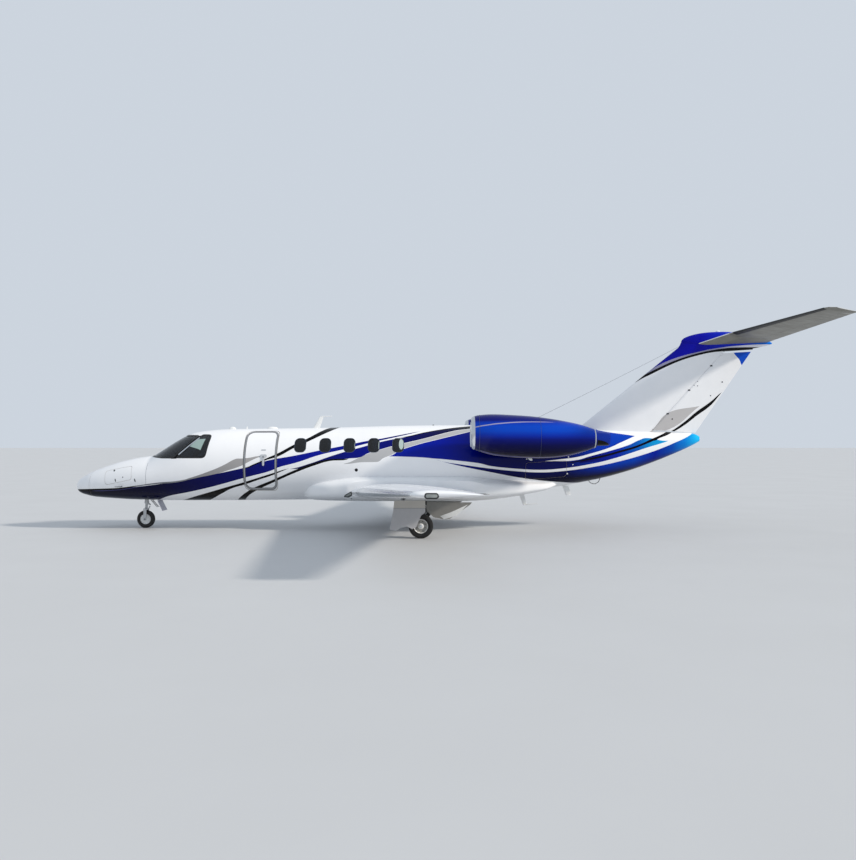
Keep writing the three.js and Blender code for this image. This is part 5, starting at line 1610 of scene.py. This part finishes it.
@dataclass
class Fittings:
    """Aerials, bumps, probes and the wire aerial on the crown and the belly."""
    wire: tuple[Place, Place] = ((5.70, 0, 4.158), (2.1, 0, 2.352))
    domes: Table = ((-4.565, .085, .035, .055), (-3.643, .127, .06, .045), (.062, .022, .022, .018))
    blades: tuple = (
        ("crown_aerial", (-2.71, -2.55, 2.29), (-2.55, -2.46, 2.565), .018),
        ("crown_probe", (-4.26, -4.21, 2.26), (-4.235, -4.215, 2.33), .008),
        ("belly_aerial", (2.02, 2.14, .81), (2.127, 2.216, .52), .018),
        ("belly_aerial_aft", (3.03, 3.17, .97), (3.115, 3.24, .75), .016))

    def build(self) -> None:
        """Makes every fitting."""
        for i, (x, long, wide, tall) in enumerate(self.domes):
            bump = pod(f"crown_dome_{i}", (x, 0, HULL.crown(x) - .002), (long, wide, tall))
            placed(dressed(bump, FITTING if i < 2 else BRACKET))
        for name, foot, tip, thick in self.blades:
            placed(dressed(blade(name, foot, tip, thick), FITTING))
        rods = [tube("rod", [(-2.52, 0, 2.558), (-2.4, 0, 2.564), (-2.272, 0, 2.566)], [.012, .01, .008]),
                tube("rod", [(2.15, 0, .528), (2.3, 0, .54), (2.463, 0, .556)], [.011, .009, .006])]
        placed(dressed(joined("aerial_rods", rods), FITTING))
        loop = [(3.627, 0, 1.1), (3.67, 0, 1.04), (3.74, 0, 1.01), (3.8, 0, 1.01), (3.87, 0, 1.06), (3.908, 0, 1.15)]
        placed(dressed(tube("tie_down_loop", loop, .007), BRACKET))
        ends = np.linspace(*np.array(self.wire), 24)
        ends[:, 2] -= .012 * np.sin(np.linspace(0, math.pi, 24))
        wire = dressed(tube("wire_aerial", ends, .0025, 8), STEEL)
        placed(wire)
        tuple(self.wire[0])
        for side in Side:
            y = side.value
            foot = HULL.point(-6.9, .98, side)
            probe = tube(f"pitot_probe_{side.word}", [foot - (0, .01 * y, 0), foot + (0, .05 * y, -.005),
                                                     foot + (-.03, .07 * y, -.006), foot + (-.13, .07 * y, -.006)],
                         [.012, .011, .009, .007], 16)
            placed(dressed(probe, STEEL))


# ---- cabin and cockpit ----

@dataclass(frozen=True)
class Cushion:
    """A leather cushion blown up from a soft block: length, width, thickness, and where its seams run."""
    long: float
    wide: float
    thick: float
    seams: tuple[float, ...]
    voxel: float = .014
    cap: float = .02

    def form(self) -> tuple[Array, list]:
        """Blows up the block as cloth, then draws in its sewn channels.

        Returns:
            Its corners about its middle, and its faces.
        """
        half = np.array([self.long, self.wide, self.thick]) / 2 - .008
        soft = block("soft", -half, half, .025)
        voxels = soft.modifiers.new("voxels", "REMESH")
        voxels.mode, voxels.voxel_size = "VOXEL", self.voxel
        start = np.array([v.co for v in evaluated(soft).data.vertices])
        cloth = soft.modifiers.new("cloth", "CLOTH")
        cloth.settings.use_pressure, cloth.settings.uniform_pressure_force = True, 4
        cloth.settings.effector_weights.gravity = 0
        cloth.point_cache.frame_start, cloth.point_cache.frame_end = 1, 20
        for step in range(1, 21):
            bpy.context.scene.frame_set(step)
        evaluated(soft)
        bpy.context.scene.frame_set(1)
        moved = np.array([v.co for v in soft.data.vertices]) - start
        far = np.linalg.norm(moved, axis=1)[:, None]
        made = start + moved * np.minimum(1, self.cap / np.maximum(far, 1e-9))
        soft.data.vertices.foreach_set("co", made.ravel())
        finer = soft.modifiers.new("finer", "SUBSURF")
        finer.levels = finer.render_levels = 1
        mesh = evaluated(soft).data
        made = np.array([v.co for v in mesh.vertices])
        for seam in self.seams:
            made[:, 2] -= np.where(made[:, 2] > 0, .008, 0) * np.exp(-((made[:, 1] - seam) / .006) ** 2)
        faces = [tuple(f.vertices) for f in mesh.polygons]
        bpy.data.objects.remove(soft)
        return made, faces


@dataclass
class Cabin:
    """Seats of cabin and cockpit, the cockpit's controls, and the floor's carpet: seats as x, y and facing."""
    seats: tuple = (("cabin", -2.9, -1), ("cabin", -1.5, 1), ("cabin", -.3, 1), ("cockpit", -5.0, 1))
    aisle: float = .345
    crew: float = .33
    half: float = .21
    base: Cushion = Cushion(.42, .33, .115, (-.09, 0, .09))
    back: Cushion = Cushion(.54, .33, .1, (-.09, 0, .09))

    def across(self, room: str, side: Side) -> float:
        """How far across a room's seats stand on one side."""
        return side.value * (self.aisle if room == "cabin" else self.crew)

    def frame_parts(self, x: float, y: float, facing: int) -> list[Piece]:
        """A seat's pedestal, pan, back shell and arms."""
        def flat(low: Place, high: Place, bevel: float) -> Piece:
            """A block whose x runs the way the seat faces."""
            ends = sorted((x + facing * low[0], x + facing * high[0]))
            return block("part", (ends[0], y + low[1], low[2]), (ends[1], y + high[1], high[2]), bevel)
        parts = [flat((-.12, -.1, .932), (.12, .1, 1.03), .02), flat((-.235, -.165, 1.03), (.2, .165, 1.062), .012)]
        shell = [(x + facing * a, b) for a, b in ((.235, 1.04), (.265, 1.05), (.4, 1.66), (.385, 1.7), (.365, 1.69))]
        parts.append(bevelled(prism("shell", shell, y - .165, y + .165), .008))
        arm = [(x + facing * a, b) for a, b in ((-.2, 1.2), (-.22, 1.26), (-.19, 1.29), (.24, 1.29), (.27, 1.24),
                                                (.22, 1.08), (.1, 1.05), (-.15, 1.05))]
        for edge in (-self.half, self.half - .035):
            parts.append(bevelled(prism("arm", arm, y + edge, y + edge + .035), .01, 3))
        return parts

    def cushions(self) -> None:
        """Lays the cushions on every seat."""
        base, back = self.base.form(), self.back.form()
        for room, x, facing in self.seats:
            for side in Side:
                y = self.across(room, side)
                lean = direction(facing * .22, 0, .9)
                out = np.array([-lean[2] * facing, 0, lean[0] * facing])
                for word, form, centre, along, up in (
                        ("seat", base, (x - facing * .015, y, 1.125), (facing, 0, 0), (0, 0, 1)),
                        ("back", back, (x + facing * .255, y, 1.43), lean, out)):
                    axes = np.array([along, np.cross(up, along), up], float)
                    cushion = body(f"{room}_{word}_cushion_{side.word}_{abs(int(x * 10))}", form[0] @ axes + centre,
                                   form[1])
                    placed(softened(dressed(cushion, LEATHER), 60), "airframe", "seat")

    def controls(self) -> None:
        """Makes the displays, the yokes and the throttles."""
        screens = [bevelled(block("screen", (-5.779, y - .11, 1.24), (-5.768, y + .11, 1.46)), .004)
                   for y in (-.4, -.12, .16, .42)]
        placed(dressed(joined("cockpit_displays", screens), SCREEN), "airframe", "panel")
        levers = [tube("lever", [(-5.55, y, 1.12), (-5.57, y, 1.2), (-5.56, y, 1.225)], [.006, .006, .014], 12)
                  for y in (-.03, .03)]
        for y in (-.33, .33):
            turn = np.linspace(-.9, math.pi + .9, 20)
            wheel = [(-5.63, y + .13 * math.cos(t), 1.33 - .07 * math.sin(t)) for t in turn]
            levers += [tube("yoke", wheel, .012, 12), tube("column", [(-5.79, y, 1.27), (-5.62, y, 1.27)], .014, 16)]
        placed(dressed(joined("flight_controls", levers), PANEL), "airframe", "panel")

    def build(self) -> None:
        """Makes the seats and the controls, and dresses the floor and panel."""
        for room in ("cabin", "cockpit"):
            for side in Side:
                parts = []
                for name, x, facing in self.seats:
                    if name == room:
                        parts += self.frame_parts(x, self.across(room, side), facing)
                piece = dressed(joined(f"{room}_seat_frames_{side.word}", parts), TRIM)
                node = "cabin_seats" if room == "cabin" else "cockpit_seat"
                placed(piece, "airframe", "seat", f"{node}_{side.word}")
        self.cushions()
        self.controls()
        coated(CARPET, "cabin_floor")
        coated(PANEL, "instrument_panel")


# ---- landing gear ----

@dataclass(frozen=True)
class Wheel:
    """One wheel and tyre: hub place, tyre radius and width, rim radius."""
    name: str
    x: float
    y: float
    radius: float
    width: float
    rim: float
    grooves: int = 4
    flange: float = .84
    bolts: int = 12

    def hub(self) -> tuple[float, float, float]:
        """The hub's middle on the port side."""
        return (self.x, -self.y, self.radius)

    def around(self, turn: float, part: float) -> Array:
        """A point round the hub, at a part of the rim's radius."""
        return self.hub() + self.rim * part * np.array((math.cos(turn), 0, math.sin(turn)))

    def tyre_profile(self) -> list:
        """The tyre's section, with grooves round the tread."""
        w, r, rim = self.width / 2, self.radius, self.rim
        side = [(-.74, rim + .001), (-.8, rim + .012), (-.93, r * .66), (-.98, r * .72), (-1, r * .79),
                (-.96, r * .86), (-.86, r * .92), (-.72, r * .962), (-.6, r * .982)]
        tread = []
        for i in range(self.grooves):
            at = -.42 + .84 * i / (self.grooves - 1)
            top = r * (1 - .018 * abs(at) ** 2)
            tread += [(at - .035, top), (at - .025, top - .006), (at + .025, top - .006), (at + .035, top)]
        return [(a * w, b) for a, b in side + tread + [(-a, b) for a, b in reversed(side)]]

    def rim_profile(self) -> list:
        """The wheel's section, dished on both faces."""
        w, rim = self.width / 2, self.rim
        bore = rim * .16 + .002
        face = [(-w * .84, bore), (-w * .82, rim * .3), (-w * .55, rim * .42), (-w * .5, rim * .5),
                (-w * .48, rim * .78), (-w * .6, rim * .9), (-w * .8, rim * .95), (-w * .82, rim)]
        return face + [(-a, b) for a, b in reversed(face)]

    def build(self, side: Side = Side.PORT, tail: str = "") -> None:
        """Makes the wheel with its lightening holes, and its tyre."""
        tyre = dressed(turned(f"{self.name}_tread{tail}", self.tyre_profile(), self.hub(), around=96), RUBBER)
        disc = turned(f"{self.name}_disc{tail}", self.rim_profile(), self.hub(), around=96)
        spots = [self.around(turn, .64) for turn in circle(8) + math.pi / 8]
        carved(disc, *((CUT, tube("hole", [spot - (0, self.width, 0), spot + (0, self.width, 0)], self.rim * .085))
                       for spot in spots))
        middle, _ = centres(disc)
        out = np.hypot(middle[:, 0] - self.x, middle[:, 2] - self.radius) / self.rim
        web = (out > .44) & (out < self.flange) & (np.abs(middle[:, 1] + self.y) < self.width * .45)
        disc = dressed(disc, WHEEL, WEB, slots=web)
        node = self.name.replace("wheel", "tyre") + tail
        if side is Side.STARBOARD:
            tyre, disc = softened(swapped(tyre)), softened(swapped(disc))
        placed(tyre, self.name + tail, "tyre", node)
        placed(disc, self.name + tail, "rim", self.name + tail)
        heads = [(self.around(turn, .9) * (1, -side.value, 1) + (0, face * self.width * .302, 0), (0, face, 0))
                 for face in (-1, 1) for turn in circle(self.bolts)]
        placed(studded(f"{self.name}_bolts{tail}", heads, STEEL, .0065, .012), self.name + tail, "rim")


@dataclass
class Gear:
    """Both main gear units and the nose gear."""
    main: Wheel = Wheel("main_wheel", -.205, 2.05, .252, .2, .145)
    nose: Wheel = Wheel("nose_wheel", -6.552, 0, .202, .112, .116, 3, 0)

    def main_parts(self) -> None:
        """Makes the shock strut, brake, lines and bolts of the main gear."""
        hub, inner = self.main.hub(), -1.894
        low, top = np.array([-.265, inner, .292]), np.array([-.52, inner, .74])
        at = [low + (top - low) * t for t in (.02, .45, .46, .5, .51, .95)]
        piston = tube("gear_piston_left", at[:2], .0352, 32)
        both(dressed(piston, CHROME), "airframe", "gear")
        barrel = tube("gear_barrel_left", at[1:], [.043, .047, .047, .042, .042], 32)
        both(dressed(barrel, FORGING), "airframe", "gear")
        brake = turned("brake_pack_left", [(.056, .034), (.056, .098), (.075, .1), (.082, .1), (.082, .09), (.1, .088),
                                           (.118, .08), (.118, .034)], hub)
        both(dressed(brake, BRAKE), "airframe", "gear")
        line = [(-.3, -1.86, .3), (-.42, -1.855, .36), (-.53, -1.87, .45), (-.545, -1.9, .6), (-.56, -1.93, .76)]
        both(dressed(tube("brake_line_left", filleted_path(line), .007, 10), BRACKET), "airframe", "gear")
        cap = turned("hub_cap_left", [(-.1, 0), (-.1, .02), (-.096, .03), (-.088, .034), (-.086, .034), (-.086, 0)],
                     hub, around=32)
        both(dressed(cap, CHROME), "main_wheel", "rim")
        bolts = [((-.56, -2.134, .8), (0, -1, 0))]
        bolts += [(spot, ACROSS) for spot in ((-.56, -1.696, .8), (-.56, -1.835, .372), (-.265, -1.86, .292),
                                              (-.52, -1.86, .74))]
        both(studded("gear_bolts_left", bolts, STEEL, .019, .016), "airframe", "gear")
        flange = prism("door_flange_left", [(.206, .356), (.442, .441), (.811, .609), (.567, .365), (.289, .285)],
                       -.9885, -.9655)
        both(dressed(bevelled(flange, .002), FITTING), "airframe", "gear_door")

    def nose_parts(self) -> None:
        """Makes the nose gear's collar, torque links, drag brace and bolts."""
        collar = turned("strut_collar", [(-.02, .031), (-.02, .052), (.02, .052), (.03, .047), (.03, .031)],
                        (-6.536, 0, .59), (-.025, 0, -.375), 40)
        placed(dressed(collar, FORGING), "airframe", "gear")
        braces = [tube("brace", [(-6.47, y, .7), (-6.3, y, .5), (-6.27, y, .48)], [.01, .01, .008], 14)
                  for y in (-.05, .05)]
        braces.append(tube("crossbar", [(-6.38, -.05, .594), (-6.38, .05, .594)], .01, 12))
        placed(dressed(joined("nose_drag_brace", braces), STRUT_DOOR), "airframe", "gear")
        links = [prism("link", band(((-6.5, .56), (-6.455, .525)), .026), y - .008, y + .008)
                 for y in (-.022, .022)]
        placed(dressed(joined("torque_link_upper", [bevelled(k, .003) for k in links]), FORGING), "airframe", "gear")
        lower = bevelled(prism("torque_link_lower", band(((-6.5, .43), (-6.462, .5)), .024), -.011, .011), .003)
        placed(dressed(lower, FORGING), "nose_fork", "gear")
        nuts = [((-6.552, face * .099, .202), (0, face, 0)) for face in (-1, 1)]
        placed(studded("axle_nuts", nuts, STEEL, .021, .014), "nose_fork", "gear")

    def build(self) -> None:
        """Makes the wheels and the legs' fittings, and dresses the legs and doors."""
        self.main_parts()
        self.nose_parts()
        for side in Side:
            self.main.build(side, f"_{side.word}")
        self.nose.build()
        coated(FORGING, "main_gear_leg_left", "main_gear_leg_right", "nose_strut", "nose_fork")
        coated(STRUT_DOOR, "main_gear_door_left", "main_gear_door_right")
        coated(DOOR_GREY, "main_gear_inboard_door_left", "main_gear_inboard_door_right")
        coated(NOSE_DOOR_GREY, "nose_gear_door")


# ---- the studio ----

@dataclass
class Studio:
    """Floor, lights and camera."""
    lens: float = 33.488
    camera_at: tuple[float, float, float] = (-.06, -18.43, 1.95)
    shift: float = .0151
    key: Place = (2.5, -.75, 1.3)

    def floor(self) -> None:
        """A plain pale floor."""
        mesh = bpy.data.meshes.new("floor")
        mesh.from_pydata([(-300, -300, 0), (300, -300, 0), (300, 300, 0), (-300, 300, 0)], [], [(0, 1, 2, 3)])
        made = dressed(linked("floor", mesh), Finish("pale_floor", "#c6c8ca", "#c1c3c5", (.6, .7), 2.0))

    def lights(self) -> None:
        """A pale surround and one broad, soft key lamp from aft and above, to port."""
        world = bpy.data.worlds.new("surround")
        bpy.context.scene.world = world
        world.use_nodes = True
        sky = world.node_tree.nodes["Background"].inputs
        sky["Color"].default_value, sky["Strength"].default_value = linear("#e4edf8"), .78
        lamp = bpy.data.lights.new("key", "SUN")
        lamp.energy, lamp.angle, lamp.color = 3.3, math.radians(5), linear("#fff6ea")[:3]
        made = linked("key", lamp)
        made.rotation_euler = Vector(self.key).to_track_quat("Z", "Y").to_euler()
        made.visible_glossy = False

    def camera(self) -> None:
        """A level camera off the port side."""
        eye = bpy.data.cameras.new("camera")
        eye.lens, eye.sensor_width, eye.shift_y = self.lens, 36, self.shift
        eye.clip_end = 500
        made = linked("camera", eye)
        made.location, made.rotation_euler = self.camera_at, (math.pi / 2, 0, 0)
        bpy.context.scene.camera = made

    def build(self) -> None:
        """Sets the stage, with colours shown as they are."""
        bpy.context.scene.view_settings.view_transform = "Standard"
        self.floor()
        self.lights()
        self.camera()


def main() -> None:
    """Builds every sub-assembly in order and reports it."""
    logging.basicConfig(level=logging.INFO, format="%(name)s: %(message)s")
    for part in (Studio(), Fittings(), Fuselage(), Cabin(), Fairing(), Wing(), Tail(), Engine(), Gear()):
        part.build()
        LOG.info("%s done, %d pieces so far", type(part).__name__, len(bpy.context.scene.objects))
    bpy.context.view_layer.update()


if __name__ == "__main__":
    main()
